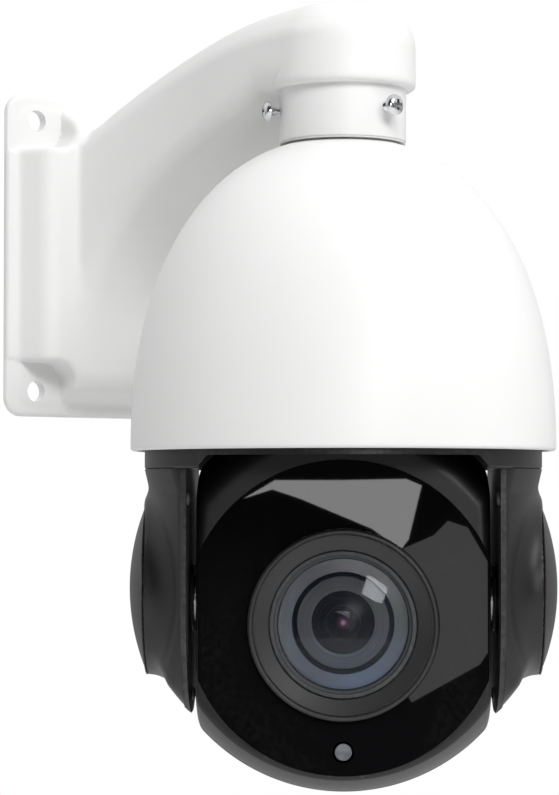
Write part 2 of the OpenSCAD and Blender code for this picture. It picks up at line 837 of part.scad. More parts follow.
module tilt_bushes() {
    color("goldenrod") for (s = [-1, 1]) on_side(s) translate([arm_x, 0, tilt_h]) along_x() {
        tube(bush_r, axle_r + run_gap, 5);
        translate([0, 0, -1]) tube(bush_r + 2, axle_r + run_gap, 1);
    }
}

module tilt_motor_place() {
    panned(tilt_motor_h) along_x() children();
}

module tilt_motor() {
    color("dimgray") tilt_motor_place() translate([0, 0, tilt_motor_x]) difference() {
        cylinder(r = motor_r, h = tilt_motor_len);
        translate([0, 0, 4]) cylinder(r = 4, h = tilt_motor_len);
    }
}

module tilt_motor_bracket() {
    low = deck_h;
    x = tilt_motor_x + tilt_motor_len;
    tall = tilt_motor_h - deck_h + motor_r - 1;
    color("silver") panned(low) difference() {
        union() {
            translate([x, -16, 0]) cube([motor_plate_t, 32, tall]);
            translate([x - 8, -24, 0]) cube([8 + motor_plate_t, 48, motor_plate_t / 2]);
        }
        translate([x - 1, 0, tilt_motor_h - deck_h]) along_x() cylinder(r = 4, h = 10);
    }
}

module tilt_motor_pulley() {
    back = tilt_motor_x + 5;
    color("silver") tilt_motor_place() {
        translate([0, 0, tilt_pulley_x]) cylinder(r = motor_pulley_r, h = tilt_pulley_t);
        translate([0, 0, back]) cylinder(r = 2.5, h = tilt_pulley_x + tilt_pulley_t - back);
    }
}

module tilt_belt() {
    color("black") panned(tilt_h) translate([tilt_pulley_x + 0.5, 0, 0]) along_x()
        rotate([0, 0, 180]) belt(tilt_pulley_r, motor_pulley_r, tilt_motor_h - tilt_h);
}

// ---- head, turning on the tilt axis ----
module head_ball(wall, x) {
    intersection() {
        sphere(r = head_r - wall, $fn = 128);
        cube([2 * x, 3 * head_r, 3 * head_r], center = true);
    }
}

// A slab of the head between two places along the lens axis
module head_slice(y0, y1, wall, x) {
    intersection() {
        head_ball(wall, x);
        translate([-head_r, y0, -head_r]) cube([2 * head_r, y1 - y0, 2 * head_r]);
    }
}

// A round plate cut off by the flat sides, y0 to y1, centred where the glass is
module glass_plate(r, x, y0, y1) {
    intersection() {
        translate([0, y0, -glass_drop]) along_y() cylinder(r = r, h = y1 - y0, $fn = 128);
        cube([2 * x, 3 * head_r, 3 * head_r], center = true);
    }
}

// Four screw places between the shells, as [x, z] in the head
boss_places = [[-boss_x, boss_top], [boss_x, boss_top], [-boss_x, -boss_low], [boss_x, -boss_low]];

module shell_bosses(y0, y1) {
    web = 3;
    for (p = boss_places) {
        translate([p[0], y0, p[1]]) along_y() cylinder(r = boss_r, h = y1 - y0);
        translate([p[0] > 0 ? p[0] : -head_x + 1, y0, p[1] - web / 2])
            cube([head_x - 1 - boss_x, y1 - y0, web]);
    }
}

module shell_screw_holes() {
    for (p = boss_places) translate([p[0], -glass_y, p[1]]) along_y()
        cylinder(r = m3[0] + hole_gap, h = 40, $fn = 32);
}

glass_back_y = -glass_y + glass_t;
ledge_y = glass_back_y + glass_seal_t;
front_wall_y = ledge_y + head_t;

module head_front_shell() {
    color([0.08, 0.08, 0.08]) in_head() difference() {
        union() {
            difference() {
                head_slice(-glass_y, split_y, 0, head_x);
                glass_plate(glass_r + 0.1, head_x - bezel, -glass_y - 1, ledge_y);
                glass_plate(glass_r - glass_ledge, head_x - bezel - glass_ledge, -glass_y, front_wall_y + 1);
                head_slice(front_wall_y, split_y + 1, head_t, head_x - head_t);
            }
            intersection() {
                shell_bosses(front_wall_y, split_y);
                head_ball(0, head_x);
            }
        }
        shell_screw_holes();
    }
}

module head_rear_shell() {
    color([0.08, 0.08, 0.08]) in_head() difference() {
        union() {
            difference() {
                head_slice(split_y, head_r + 1, 0, head_x);
                head_slice(split_y - 1, head_r, head_t, head_x - head_t);
            }
            shell_bosses(split_y, split_y + boss_len);
        }
        shell_screw_holes();
        translate([-head_x - 1, 0, 0]) along_x() cylinder(r = axle_r, h = 2 * head_x + 2);
    }
}

module head_screws() {
    color("silver") in_head() for (p = boss_places) translate([p[0], front_wall_y, p[1]])
        rotate([90, 0, 0]) screw(m3, head_screw_len);
}

module front_glass() {
    color([0.02, 0.02, 0.02]) in_head() difference() {
        glass_plate(glass_r, head_x - bezel - 0.2, -glass_y, glass_back_y);
        translate([0, -glass_y - 1, lens_z]) along_y() cylinder(r = lens_ring_r + 0.2, h = 10);
        translate([0, -glass_y - 1, -glass_drop - window_drop]) along_y()
            cylinder(r = window_r + 0.1, h = 10, $fn = 48);
    }
}

module glass_seal() {
    color("black") in_head() difference() {
        glass_plate(glass_r, head_x - bezel - 0.2, glass_back_y, ledge_y);
        glass_plate(glass_r - glass_ledge, head_x - bezel - glass_ledge, glass_back_y - 1, ledge_y + 1);
    }
}

// Flanged hollow axle: the flange sits inside the head's flat side
module tilt_axle(side, len) {
    flange_t = 2.5;
    inner = head_x - head_t - flange_t;
    color("silver") on_side(side) translate([inner, 0, tilt_h]) along_x() difference() {
        union() {
            cylinder(r = axle_r + 5, h = flange_t);
            cylinder(r = axle_r, h = len - inner);
        }
        translate([0, 0, -1]) cylinder(r = axle_bore_r, h = 60);
    }
}

module axle_clips() {
    color("silver") {
        on_side(1) translate([tilt_pulley_x + tilt_pulley_t, 0, tilt_h]) along_x()
            tube(axle_r + 2, axle_r, 1);
        on_side(-1) translate([tilt_pulley_x, 0, tilt_h]) along_x() tube(axle_r + 2, axle_r, 1);
    }
}

module tilt_pulley() {
    color("gainsboro") on_side(1) translate([tilt_pulley_x, 0, tilt_h]) along_x() difference() {
        cylinder(r = tilt_pulley_r, h = tilt_pulley_t);
        translate([0, 0, -1]) cylinder(r = axle_r, h = 20);
        for (a = [0 : 60 : 300]) rotate([0, 0, a]) translate([14.8, 0, -1])
            cylinder(r = 2.6, h = 20);
    }
}

// ---- lens and zoom module ----
module lens_ring() {
    proud = 2.2;
    depth = 6;
    color([0.15, 0.15, 0.15]) on_lens_axis(-glass_y - proud) rotate_extrude() polygon([
        [barrel_r + 0.05, proud + 1], [barrel_r + 1.5, proud - 0.4], [lens_ring_r - 3.6, 0.4],
        [lens_ring_r - 3, 0], [lens_ring_r - 1, 0], [lens_ring_r, 1], [lens_ring_r, depth],
        [barrel_r + 0.05, depth]
    ]);
}

module lens_barrel() {
    depth = barrel_back_y - barrel_front_y;
    seat = 7;
    color([0.1, 0.1, 0.1]) on_lens_axis(barrel_front_y) difference() {
        cylinder(r = barrel_r, h = depth);
        translate([0, 0, -1]) cylinder(r = element_r + 1, h = 3.2);
        translate([0, 0, -1]) cylinder(r = element_r, h = seat + 1);
        translate([0, 0, -1]) cylinder(r = cell_bore_r, h = depth + 2);
    }
}

// Domed front lens: its edge sits in the barrel's seat
module front_element() {
    rise = 3.2;
    edge_t = 2;
    curve_r = (element_r * element_r + rise * rise) / (2 * rise);
    edge = asin(element_r / curve_r);
    color([0.3, 0.35, 0.45]) on_lens_axis(barrel_front_y + 7 - edge_t) rotate_extrude() polygon(concat(
        [[0, edge_t], [element_r, edge_t], [element_r, 0]],
        [for (i = [1 : 14]) let (a = edge * (1 - i / 14))
            [curve_r * sin(a), -(curve_r * cos(a) - curve_r + rise)]]
    ));
}

module zoom_module() {
    color("dimgray") in_head() difference() {
        translate([-module_w / 2, barrel_back_y, lens_z - module_h / 2])
            cube([module_w, module_back_y - barrel_back_y, module_h]);
        translate([-module_w / 2 + module_t, barrel_back_y + module_t, lens_z - module_h / 2 + module_t])
            cube([module_w - 2 * module_t, module_back_y, module_h - 2 * module_t]);
        translate([0, -1, lens_z]) along_y() cylinder(r = cell_bore_r, h = 10);
    }
}

// Angle bracket on the zoom module's top that ties it to the rear shell's upper bosses
module module_bracket() {
    t = 2;
    top_z = lens_z + module_h / 2;
    y0 = split_y + boss_len;
    color("silver") in_head() difference() {
        union() {
            translate([-boss_x - boss_r, y0, top_z])
                cube([2 * (boss_x + boss_r), t, boss_top + boss_r - top_z]);
            translate([-module_w / 2, y0, top_z]) cube([module_w, 28, t]);
        }
        for (x = [-15, 15]) translate([x, y0 + 18, top_z - 1])
            cylinder(r = m3[0] + hole_gap, h = t + 2, $fn = 32);
        shell_screw_holes();
    }
}

module sensor_board() {
    color("darkgreen") in_head() {
        translate([-module_w / 2, module_back_y, lens_z - module_h / 2])
            cube([module_w, board_t, module_h]);
        translate([-6, module_back_y - 2, lens_z - 5]) cube([12, 2, 10]);
        translate([-14, module_back_y + board_t, lens_z - 10]) cube([28, 5, 8]);
    }
}

// Clear light pipe over the day and night sensor
module sensor_window() {
    color([0.8, 0.85, 0.9]) in_head() translate([0, -glass_y, -glass_drop - window_drop]) along_y()
        cylinder(r = window_r, h = glass_t, $fn = 48);
}

module lens_cell(r_out, r_lens, t) {
    tube(r_out, r_lens, t);
    translate([0, 0, 1]) cylinder(r = r_lens, h = t - 2);
}

module zoom_group() {
    color([0.4, 0.4, 0.42]) on_lens_axis(zoom_y) lens_cell(cell_r, zoom_lens_r, 6);
}

module focus_group() {
    color([0.4, 0.4, 0.42]) on_lens_axis(focus_y) lens_cell(cell_r, zoom_lens_r - 2, 6);
}

wall_bracket();
neck_screws();
neck_stub();
neck_seal();
flange_gasket();
flange_screws();
dome_housing();
pan_seal();
chassis_plate();
chassis_screws();
bearing_housing();
bearing_housing_screws();
pan_bearing_outer_rings();
main_board();
main_board_parts();
board_standoffs();
board_screws();
slip_ring_body();
pan_motor();
pan_belt();
pan_motor_pulley();
turntable();
pan_shaft();
pan_shaft_screws();
pan_shaft_nut();
pan_pulley();
pan_bearing_inner_rings();
pan_bearing_balls();
slip_ring_rotor();
yoke_arm(-1);  // yoke_arm_left
yoke_arm(1);  // yoke_arm_right
arm_cover(-1);  // arm_cover_left
arm_cover(1);  // arm_cover_right
ear_cap(-1);  // ear_cap_left
ear_cap(1);  // ear_cap_right
arm_screws();
cover_screws();
tilt_bushes();
tilt_motor();
tilt_motor_bracket();
tilt_belt();
tilt_motor_pulley();
head_front_shell();
head_rear_shell();
head_screws();
front_glass();
glass_seal();
tilt_axle(-1, tilt_pulley_x + 2);  // tilt_axle_left
tilt_axle(1, tilt_pulley_x + tilt_pulley_t + 1.5);  // tilt_axle_right
axle_clips();
tilt_pulley();
lens_ring();
lens_barrel();
front_element();
zoom_module();
module_bracket();
sensor_board();
sensor_window();
zoom_group();
focus_group();
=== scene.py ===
# A pan-tilt-zoom camera hung from a wall bracket: a cast arm, a domed housing and a ball-shaped head in a
# yoke. Bracket, neck and dome are painted aluminium, and band, yoke and head are black moulded plastic.
# The sections follow the order of assembly, from the wall down to the lens.
import math
import bmesh
import bpy
import numpy as np
from mathutils import Matrix, Vector
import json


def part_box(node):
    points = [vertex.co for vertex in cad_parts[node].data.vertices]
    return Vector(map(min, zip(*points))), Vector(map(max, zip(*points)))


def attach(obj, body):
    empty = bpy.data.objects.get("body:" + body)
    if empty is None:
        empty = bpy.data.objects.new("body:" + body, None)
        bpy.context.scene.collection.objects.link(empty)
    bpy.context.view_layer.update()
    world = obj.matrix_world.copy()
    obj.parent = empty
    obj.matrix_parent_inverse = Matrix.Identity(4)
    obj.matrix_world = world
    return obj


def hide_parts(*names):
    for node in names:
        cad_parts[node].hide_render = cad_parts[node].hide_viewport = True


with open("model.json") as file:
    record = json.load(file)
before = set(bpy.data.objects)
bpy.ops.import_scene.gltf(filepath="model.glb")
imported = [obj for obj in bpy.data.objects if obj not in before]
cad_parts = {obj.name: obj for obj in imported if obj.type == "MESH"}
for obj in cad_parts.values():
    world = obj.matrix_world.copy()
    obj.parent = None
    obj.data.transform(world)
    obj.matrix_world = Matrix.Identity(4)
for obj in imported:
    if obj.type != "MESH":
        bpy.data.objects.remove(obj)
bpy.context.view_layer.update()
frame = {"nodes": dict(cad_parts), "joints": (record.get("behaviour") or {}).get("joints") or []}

# ---- Wall bracket ----
# A single sand-smooth aluminium casting, powder coated white: the wall plate with four bolt pockets, the
# raised pedestal, and the hollow arm that sweeps up and out to a round nose. The sleeve under the nose is
# bored for the neck.
PLATE_THICK = 4.0
PEDESTAL = 17.0
BOLT_AT = (51.0, 56.5)
NOSE_R = 28.5
WALL = 4.0


def box_mm(node):
    low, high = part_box(node)
    return np.array(low) * 1000, np.array(high) * 1000


joints = {joint["name"]: joint for joint in frame["joints"]}
pan_y = joints["pan"]["pos_m"][1] * 1000
rim = box_mm("dome_housing")[0][2]
sleeve_low = box_mm("neck_seal")[1][2]
plate_half_x, _, nose_top = box_mm("wall_bracket")[1]
plate_half_z = -box_mm("wall_bracket")[0][2]
sleeve_top = sleeve_low + 20.6


# Shapes are given as distances, negative inside, so that edges and joints can be rounded as on a casting
def rounded_and(a, b, r):
    return np.minimum(np.maximum(a, b), -r) + np.hypot(np.maximum(a + r, 0), np.maximum(b + r, 0))


def filleted_or(a, b, r):
    return np.maximum(np.minimum(a, b), r) - np.hypot(np.maximum(r - a, 0), np.maximum(r - b, 0))


def outline_distance(points, u, v):
    nearest = np.inf
    side = 1.0
    for (ax, ay), (bx, by) in zip(points, points[1:] + points[:1]):
        ex, ey = bx - ax, by - ay
        along = np.clip(((u - ax) * ex + (v - ay) * ey) / (ex * ex + ey * ey), 0, 1)
        nearest = np.minimum(nearest, (u - ax - ex * along) ** 2 + (v - ay - ey * along) ** 2)
        if ay != by:
            crossed = ((v < ay) != (v < by)) & (u < ax + (v - ay) * ex / ey)
            side = np.where(crossed, -side, side)
    return side * np.sqrt(nearest)


def skin(shape, low, high, step):
    """A smooth mesh over the zero surface of shape, in cells of that step."""
    axes = [np.arange(low[i], high[i] + step, step) for i in range(3)]
    values = shape(*np.meshgrid(*axes, indexing="ij", sparse=True))
    values = np.broadcast_to(values, [len(a) for a in axes])
    inside = values < 0
    cells = [len(a) - 1 for a in axes]
    total = np.zeros(cells + [3])
    count = np.zeros(cells)
    crossings = []
    for axis in range(3):
        start = [slice(None)] * 3
        end = [slice(None)] * 3
        start[axis], end[axis] = slice(None, -1), slice(1, None)
        a, b = values[tuple(start)], values[tuple(end)]
        crossed = inside[tuple(start)] != inside[tuple(end)]
        share = np.where(crossed, a / np.where(crossed, a - b, 1), 0)
        others = [i for i in range(3) if i != axis]
        for du in (0, 1):
            for dv in (0, 1):
                part = [slice(None)] * 3
                part[others[0]] = slice(du, cells[others[0]] + du)
                part[others[1]] = slice(dv, cells[others[1]] + dv)
                here = crossed[tuple(part)]
                count += here
                total[..., axis] += share[tuple(part)]
                total[..., others[0]] += here * du
                total[..., others[1]] += here * dv
        crossings.append((crossed, inside[tuple(start)]))
    live = count > 0
    number = np.full(cells, -1)
    number[live] = np.arange(live.sum())
    points = (np.argwhere(live) + total[live] / count[live][:, None]) * step + np.array(low)
    for _ in range(2):
        near = shape(*points.T)
        slope = np.stack([shape(*(points + 0.01 * np.eye(3)[i]).T) - near for i in range(3)], 1) / 0.01
        length = np.maximum((slope ** 2).sum(1), 0.25)
        points = points - np.clip(near / length, -step / 2, step / 2)[:, None] * slope
    faces = []
    for axis in range(3):
        crossed, starts_inside = crossings[axis]
        u, v = np.eye(3, dtype=int)[(axis + 1) % 3], np.eye(3, dtype=int)[(axis + 2) % 3]
        edge = np.argwhere(crossed)
        outward = starts_inside[crossed]
        keep = ((edge - u - v) >= 0).all(1) & (edge < np.array(cells)).all(1)
        edge, outward = edge[keep], outward[keep]
        corners = [number[tuple(c.T)] for c in (edge - u - v, edge - v, edge, edge - u)]
        quads = np.stack(corners, 1)
        faces.append(np.where(outward[:, None], quads, quads[:, ::-1]))
    return points, np.concatenate(faces)


def piece(name, points, faces, turn=None):
    """An object from points in millimetres, turned into place if turn is given."""
    points = np.asarray(points, float) / 1000
    if turn is not None:
        points = points @ np.array(turn.to_3x3()).T + np.array(turn.translation)
    mesh = bpy.data.meshes.new(name)
    mesh.from_pydata(points.tolist(), [], [list(map(int, face)) for face in faces])
    mesh.validate()
    made = bpy.data.objects.new(name, mesh)
    bpy.context.collection.objects.link(made)
    return made


def shaded(made, angle=32):
    made.data.shade_smooth()
    made.data.set_sharp_from_angle(angle=math.radians(angle))
    return made


def applied(made):
    """Bakes the modifiers of an object into its mesh."""
    bpy.context.view_layer.update()
    mesh = bpy.data.meshes.new_from_object(made.evaluated_get(bpy.context.evaluated_depsgraph_get()))
    made.modifiers.clear()
    made.data = mesh
    return made


def cut(made, tool, how="DIFFERENCE", solver="MANIFOLD"):
    change = made.modifiers.new("cut", "BOOLEAN")
    change.operation = how
    change.object = tool
    change.solver = solver
    applied(made)
    bpy.data.objects.remove(tool)
    return made


def turned(profile, steps=128, first=(0, 0, 0)):
    """Points and faces of a solid of revolution round Z, from a closed outline of (radius, height)."""
    points, faces, rings = [], [], []
    following = profile[1:] + profile[:1]
    if sum(a[0] * b[1] - b[0] * a[1] for a, b in zip(profile, following)) < 0:
        profile = profile[::-1]
    for r, h in profile:
        if r < 1e-6:
            rings.append([len(points)] * steps)
            points.append((first[0], first[1], first[2] + h))
        else:
            rings.append(list(range(len(points), len(points) + steps)))
            for i in range(steps):
                a = 2 * math.pi * i / steps
                points.append((first[0] + r * math.cos(a), first[1] + r * math.sin(a), first[2] + h))
    for low, high in zip(rings, rings[1:] + rings[:1]):
        for i in range(steps):
            j = (i + 1) % steps
            face = list(dict.fromkeys([low[i], low[j], high[j], high[i]]))
            if len(face) > 2:
                faces.append(face)
    return points, faces


def arc(cx, cy, r, start, end, steps=8):
    angles = [math.radians(start + (end - start) * i / steps) for i in range(steps + 1)]
    return [(cx + r * math.cos(a), cy + r * math.sin(a)) for a in angles]


def rod(r, start, end, steps=64):
    """A plain cylinder between two points in millimetres, used as a cutting tool."""
    along = Vector(end) - Vector(start)
    aim = along.to_track_quat("Z", "Y").to_matrix()
    points, faces = turned([(0, 0), (r, 0), (r, along.length), (0, along.length)], steps)
    points = [aim @ Vector(p) + Vector(start) for p in points]
    return piece("tool", points, faces)


ROOT_Y = -PEDESTAL + 2
ROOT_HALF = 40.0
FLARE_Y = -85.0
under = [Vector(p) for p in (
    (ROOT_Y, rim + 39.5), (ROOT_Y - 6, rim + 111.5), (pan_y + 66, sleeve_top - 27),
    (pan_y + 21.5, sleeve_top))]
underside = [
    (1 - t) ** 3 * under[0] + 3 * t * (1 - t) ** 2 * under[1] + 3 * t * t * (1 - t) * under[2]
    + t ** 3 * under[3]
    for t in [i / 20 for i in range(21)]]
ARM_FALL = 36.0
crown = [(pan_y + t * (ROOT_Y - pan_y), nose_top - ARM_FALL * t ** 2.2) for t in [i / 10 for i in range(11)]]
arm_side = [tuple(p) for p in underside] + [(pan_y - NOSE_R, sleeve_top), (pan_y - NOSE_R, nose_top)] + crown
arm_side += [(ROOT_Y + 6, nose_top - ARM_FALL - 2), (ROOT_Y + 6, rim + 39.5)]
flare = [(NOSE_R + (ROOT_HALF - NOSE_R) * (i / 12) ** 2,
          FLARE_Y + (ROOT_Y - FLARE_Y) * i / 12) for i in range(13)]
arm_plan = arc(0, pan_y, NOSE_R, -85, 0, 10) + flare + [(ROOT_HALF, ROOT_Y + 6)]
arm_plan = arm_plan + [(-x, y) for x, y in reversed(arm_plan)]


def bracket_shape(x, y, z):
    across = rounded_and(abs(x) - plate_half_x, abs(z) - plate_half_z, 8)
    body = rounded_and(across, abs(y + PLATE_THICK / 2) - PLATE_THICK / 2, 1.6)
    lean = (abs(x) - plate_half_x + 5 - 0.6 * (y + PLATE_THICK)) * 0.86
    rise = (abs(z) - plate_half_z + 5 - 0.6 * (y + PLATE_THICK)) * 0.86
    pedestal = rounded_and(rounded_and(lean, rise, 8), -PEDESTAL - y, 5)
    pedestal = np.maximum(pedestal, y + 1)
    body = filleted_or(body, pedestal, 2)
    pocket = np.maximum(rounded_and(BOLT_AT[0] - 12.5 - abs(x), BOLT_AT[1] - 12 - abs(z), 10),
                        y + PLATE_THICK)
    body = rounded_and(body, -pocket, 2.5)
    below_top = np.interp(y, *zip(*crown)) - z
    side_round = 17 - 9 * np.clip((below_top - 8) / 20, 0, 1)
    arm = rounded_and(outline_distance(arm_side, y, z), outline_distance(arm_plan, x, y), side_round)
    body = filleted_or(body, arm, 3)
    reach = np.hypot(x, y - pan_y)
    nose = rounded_and(reach - NOSE_R, z - nose_top, 17)
    nose = rounded_and(nose, sleeve_top - z, 2.2)
    body = np.minimum(body, nose)
    hollow = np.minimum(arm + WALL, np.maximum(np.maximum(abs(x) - 30, abs(z) - 42), -PEDESTAL + WALL - y))
    bore = np.maximum(reach - NOSE_R + 8, abs(z - sleeve_top - 12) - 12)
    return rounded_and(body, -np.minimum(hollow, bore), 0.8)


bracket = piece("wall_bracket_casting", *skin(bracket_shape, (-69, pan_y - 31, -70),
                                              (69, 2.3, nose_top + 2.3), 1.15))
sleeve_r = 24.75
bracket = cut(bracket, piece("tool", *turned(
    [(0, sleeve_low), (sleeve_r - 0.8, sleeve_low)] + arc(sleeve_r - 0.8, sleeve_low + 0.8, 0.8, -90, 0, 4)
    + [(sleeve_r, sleeve_top + 3), (0, sleeve_top + 3)], 160, (0, pan_y, 0))), "UNION")
bracket = cut(bracket, rod(21.75, (0, pan_y, sleeve_low - 1), (0, pan_y, sleeve_top + 4), 160))
for bolt_x in (-BOLT_AT[0], BOLT_AT[0]):
    for bolt_z in (-BOLT_AT[1], BOLT_AT[1]):
        bracket = cut(bracket, rod(4.4, (bolt_x, -30, bolt_z), (bolt_x, 5, bolt_z), 48))
shaded(bracket, 40)


# Nodes are added in one line: a socket's value is set, or another node's output is linked to it
def node(tree, kind, **sockets):
    made = tree.nodes.new(kind)
    for name, value in sockets.items():
        key = name.replace("_", " ")
        if key in made.inputs:
            socket = made.inputs[key]
            if isinstance(value, bpy.types.NodeSocket):
                tree.links.new(value, socket)
            else:
                socket.default_value = value
        else:
            setattr(made, name, value)
    return made


def group(name, inputs, outputs):
    tree = bpy.data.node_groups.new(name, "ShaderNodeTree")
    for label, value in inputs:
        tree.interface.new_socket(name=label, in_out="INPUT",
                                  socket_type="NodeSocketFloat").default_value = value
    for label in outputs:
        tree.interface.new_socket(name=label, in_out="OUTPUT", socket_type="NodeSocketFloat")
    return tree, tree.nodes.new("NodeGroupInput"), tree.nodes.new("NodeGroupOutput")


# Fine grain of a sprayed or moulded surface: Height for the bump and Patch for slow changes of tone
grain, into, out = group("surface_grain", [("Grain Size", 0.5), ("Patch Size", 40.0)], ["Height", "Patch"])
place = node(grain, "ShaderNodeTexCoord").outputs["Object"]
fine_scale = node(grain, "ShaderNodeMath", operation="DIVIDE")
fine_scale.inputs[0].default_value = 1000
grain.links.new(into.outputs["Grain Size"], fine_scale.inputs[1])
patch_scale = node(grain, "ShaderNodeMath", operation="DIVIDE")
patch_scale.inputs[0].default_value = 1000
grain.links.new(into.outputs["Patch Size"], patch_scale.inputs[1])
fine = node(grain, "ShaderNodeTexNoise", Vector=place, Scale=fine_scale.outputs[0], Detail=3.0,
            Roughness=0.55)
slow = node(grain, "ShaderNodeTexNoise", Vector=place, Scale=patch_scale.outputs[0], Detail=2.0,
            Roughness=0.5)
grain.links.new(fine.outputs["Fac"], out.inputs["Height"])
grain.links.new(slow.outputs["Fac"], out.inputs["Patch"])

# Rubbed edges: where the surface turns sharply outwards, broken up by noise
wear, into, out = group("rubbed_edges", [("Amount", 0.5), ("Spot Size", 2.0)], ["Mask"])
point = node(wear, "ShaderNodeNewGeometry").outputs["Pointiness"]
place = node(wear, "ShaderNodeTexCoord").outputs["Object"]
spot_scale = node(wear, "ShaderNodeMath", operation="DIVIDE")
spot_scale.inputs[0].default_value = 1000
wear.links.new(into.outputs["Spot Size"], spot_scale.inputs[1])
edge = node(wear, "ShaderNodeMapRange", Value=point, From_Min=0.53, From_Max=0.62)
spots = node(wear, "ShaderNodeTexNoise", Vector=place, Scale=spot_scale.outputs[0], Detail=4.0)
broken = node(wear, "ShaderNodeMapRange", Value=spots.outputs["Fac"], From_Min=0.4, From_Max=0.65)
both = node(wear, "ShaderNodeMath", operation="MULTIPLY")
wear.links.new(edge.outputs[0], both.inputs[0])
wear.links.new(broken.outputs[0], both.inputs[1])
some = node(wear, "ShaderNodeMath", operation="MULTIPLY", use_clamp=True)
wear.links.new(both.outputs[0], some.inputs[0])
wear.links.new(into.outputs["Amount"], some.inputs[1])
wear.links.new(some.outputs[0], out.inputs["Mask"])


def finish(name, light, dark, rough, grain_size, bump, rubbed, edge_wear=0.3, patch=40.0, coat=0.0,
           metal=0.0):
    """A surface between two tones, with its grain as bump and its edges rubbed to another colour."""
    made = bpy.data.materials.new(name)
    made.use_nodes = True
    tree = made.node_tree
    shader = tree.nodes["Principled BSDF"]
    texture = tree.nodes.new("ShaderNodeGroup")
    texture.node_tree = grain
    texture.inputs["Grain Size"].default_value = grain_size
    texture.inputs["Patch Size"].default_value = patch
    edges = tree.nodes.new("ShaderNodeGroup")
    edges.node_tree = wear
    edges.inputs["Amount"].default_value = edge_wear
    tone = node(tree, "ShaderNodeMix", data_type="RGBA")
    tree.links.new(texture.outputs["Patch"], tone.inputs[0])
    tone.inputs[6].default_value = (*light, 1)
    tone.inputs[7].default_value = (*dark, 1)
    colour = node(tree, "ShaderNodeMix", data_type="RGBA")
    tree.links.new(edges.outputs["Mask"], colour.inputs[0])
    tree.links.new(tone.outputs[2], colour.inputs[6])
    colour.inputs[7].default_value = (*rubbed, 1)
    tree.links.new(colour.outputs[2], shader.inputs["Base Color"])
    gloss = node(tree, "ShaderNodeMapRange", Value=texture.outputs["Patch"], To_Min=rough * 0.88,
                 To_Max=rough * 1.12)
    tree.links.new(gloss.outputs[0], shader.inputs["Roughness"])
    relief = node(tree, "ShaderNodeBump", Strength=1.0, Distance=bump / 1000,
                  Height=texture.outputs["Height"])
    tree.links.new(relief.outputs[0], shader.inputs["Normal"])
    shader.inputs["Metallic"].default_value = metal
    shader.inputs["Coat Weight"].default_value = coat
    shader.inputs["Coat Roughness"].default_value = 0.2
    return made


def fit(made, material, body, slot, *stands_for):
    """Gives a finished piece its material and body, and hides the CAD nodes that it stands for."""
    made.data.materials.clear()
    made.data.materials.append(material)
    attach(made, body)
    if stands_for:
        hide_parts(*stands_for)


powder_coat = finish("white_powder_coat", (0.87, 0.87, 0.865), (0.82, 0.82, 0.815), 0.42, 0.35, 0.012,
                     (0.7, 0.7, 0.7), 0.15, 60.0)
fit(bracket, powder_coat, "fixed", "white_paint", "wall_bracket")

# ---- Neck ----
# A turned aluminium stub on the dome's roof slides up into the sleeve. Three zinc-plated pan-head screws
# round the sleeve hold it, and they stand a little proud. A rubber ring keeps rain out of the joint.
M4 = (1.9, 4.0, 3.1)
M3 = (1.4, 2.75, 2.0)


def screw_form(size, length, pitch):
    """A pan-head screw with a cross recess, its head's underside at Z = 0."""
    shank, head, tall = size
    turns = int(length / pitch)
    outline = [(0, -length), (shank - 0.5, -length)]
    for i in range(turns):
        low = -length + 0.3 + i * pitch
        outline += [(shank - 0.35, low), (shank, low + pitch * 0.5), (shank - 0.35, low + pitch * 0.98)]
    outline = [p for p in outline if p[1] < -0.2] + [(shank, 0)]
    outline += [(head - 0.25, 0), (head, 0.25), (head, tall * 0.4)]
    outline += [(head * math.cos(a), tall * (0.4 + 0.6 * math.sin(a))) for a in
                [math.radians(d) for d in (18, 36, 54, 68, 80)]] + [(0, tall)]
    made = piece("screw_form", *turned(outline, 40))
    for across in (0, 1):
        w, l, deep = shank * 0.34, head * 0.62, tall * 0.75
        corners = [(sx * (l if top else l * 0.45), sy * (w if top else w * 0.8),
                    tall + 0.5 if top else tall - deep)
                   for top in (0, 1) for sx, sy in ((-1, -1), (1, -1), (1, 1), (-1, 1))]
        if across:
            corners = [(-y, x, z) for x, y, z in corners]
        cut(made, piece("tool", corners,
                        [(3, 2, 1, 0), (4, 5, 6, 7), (0, 1, 5, 4), (1, 2, 6, 5), (2, 3, 7, 6),
                                          (3, 0, 4, 7)]))
    return made


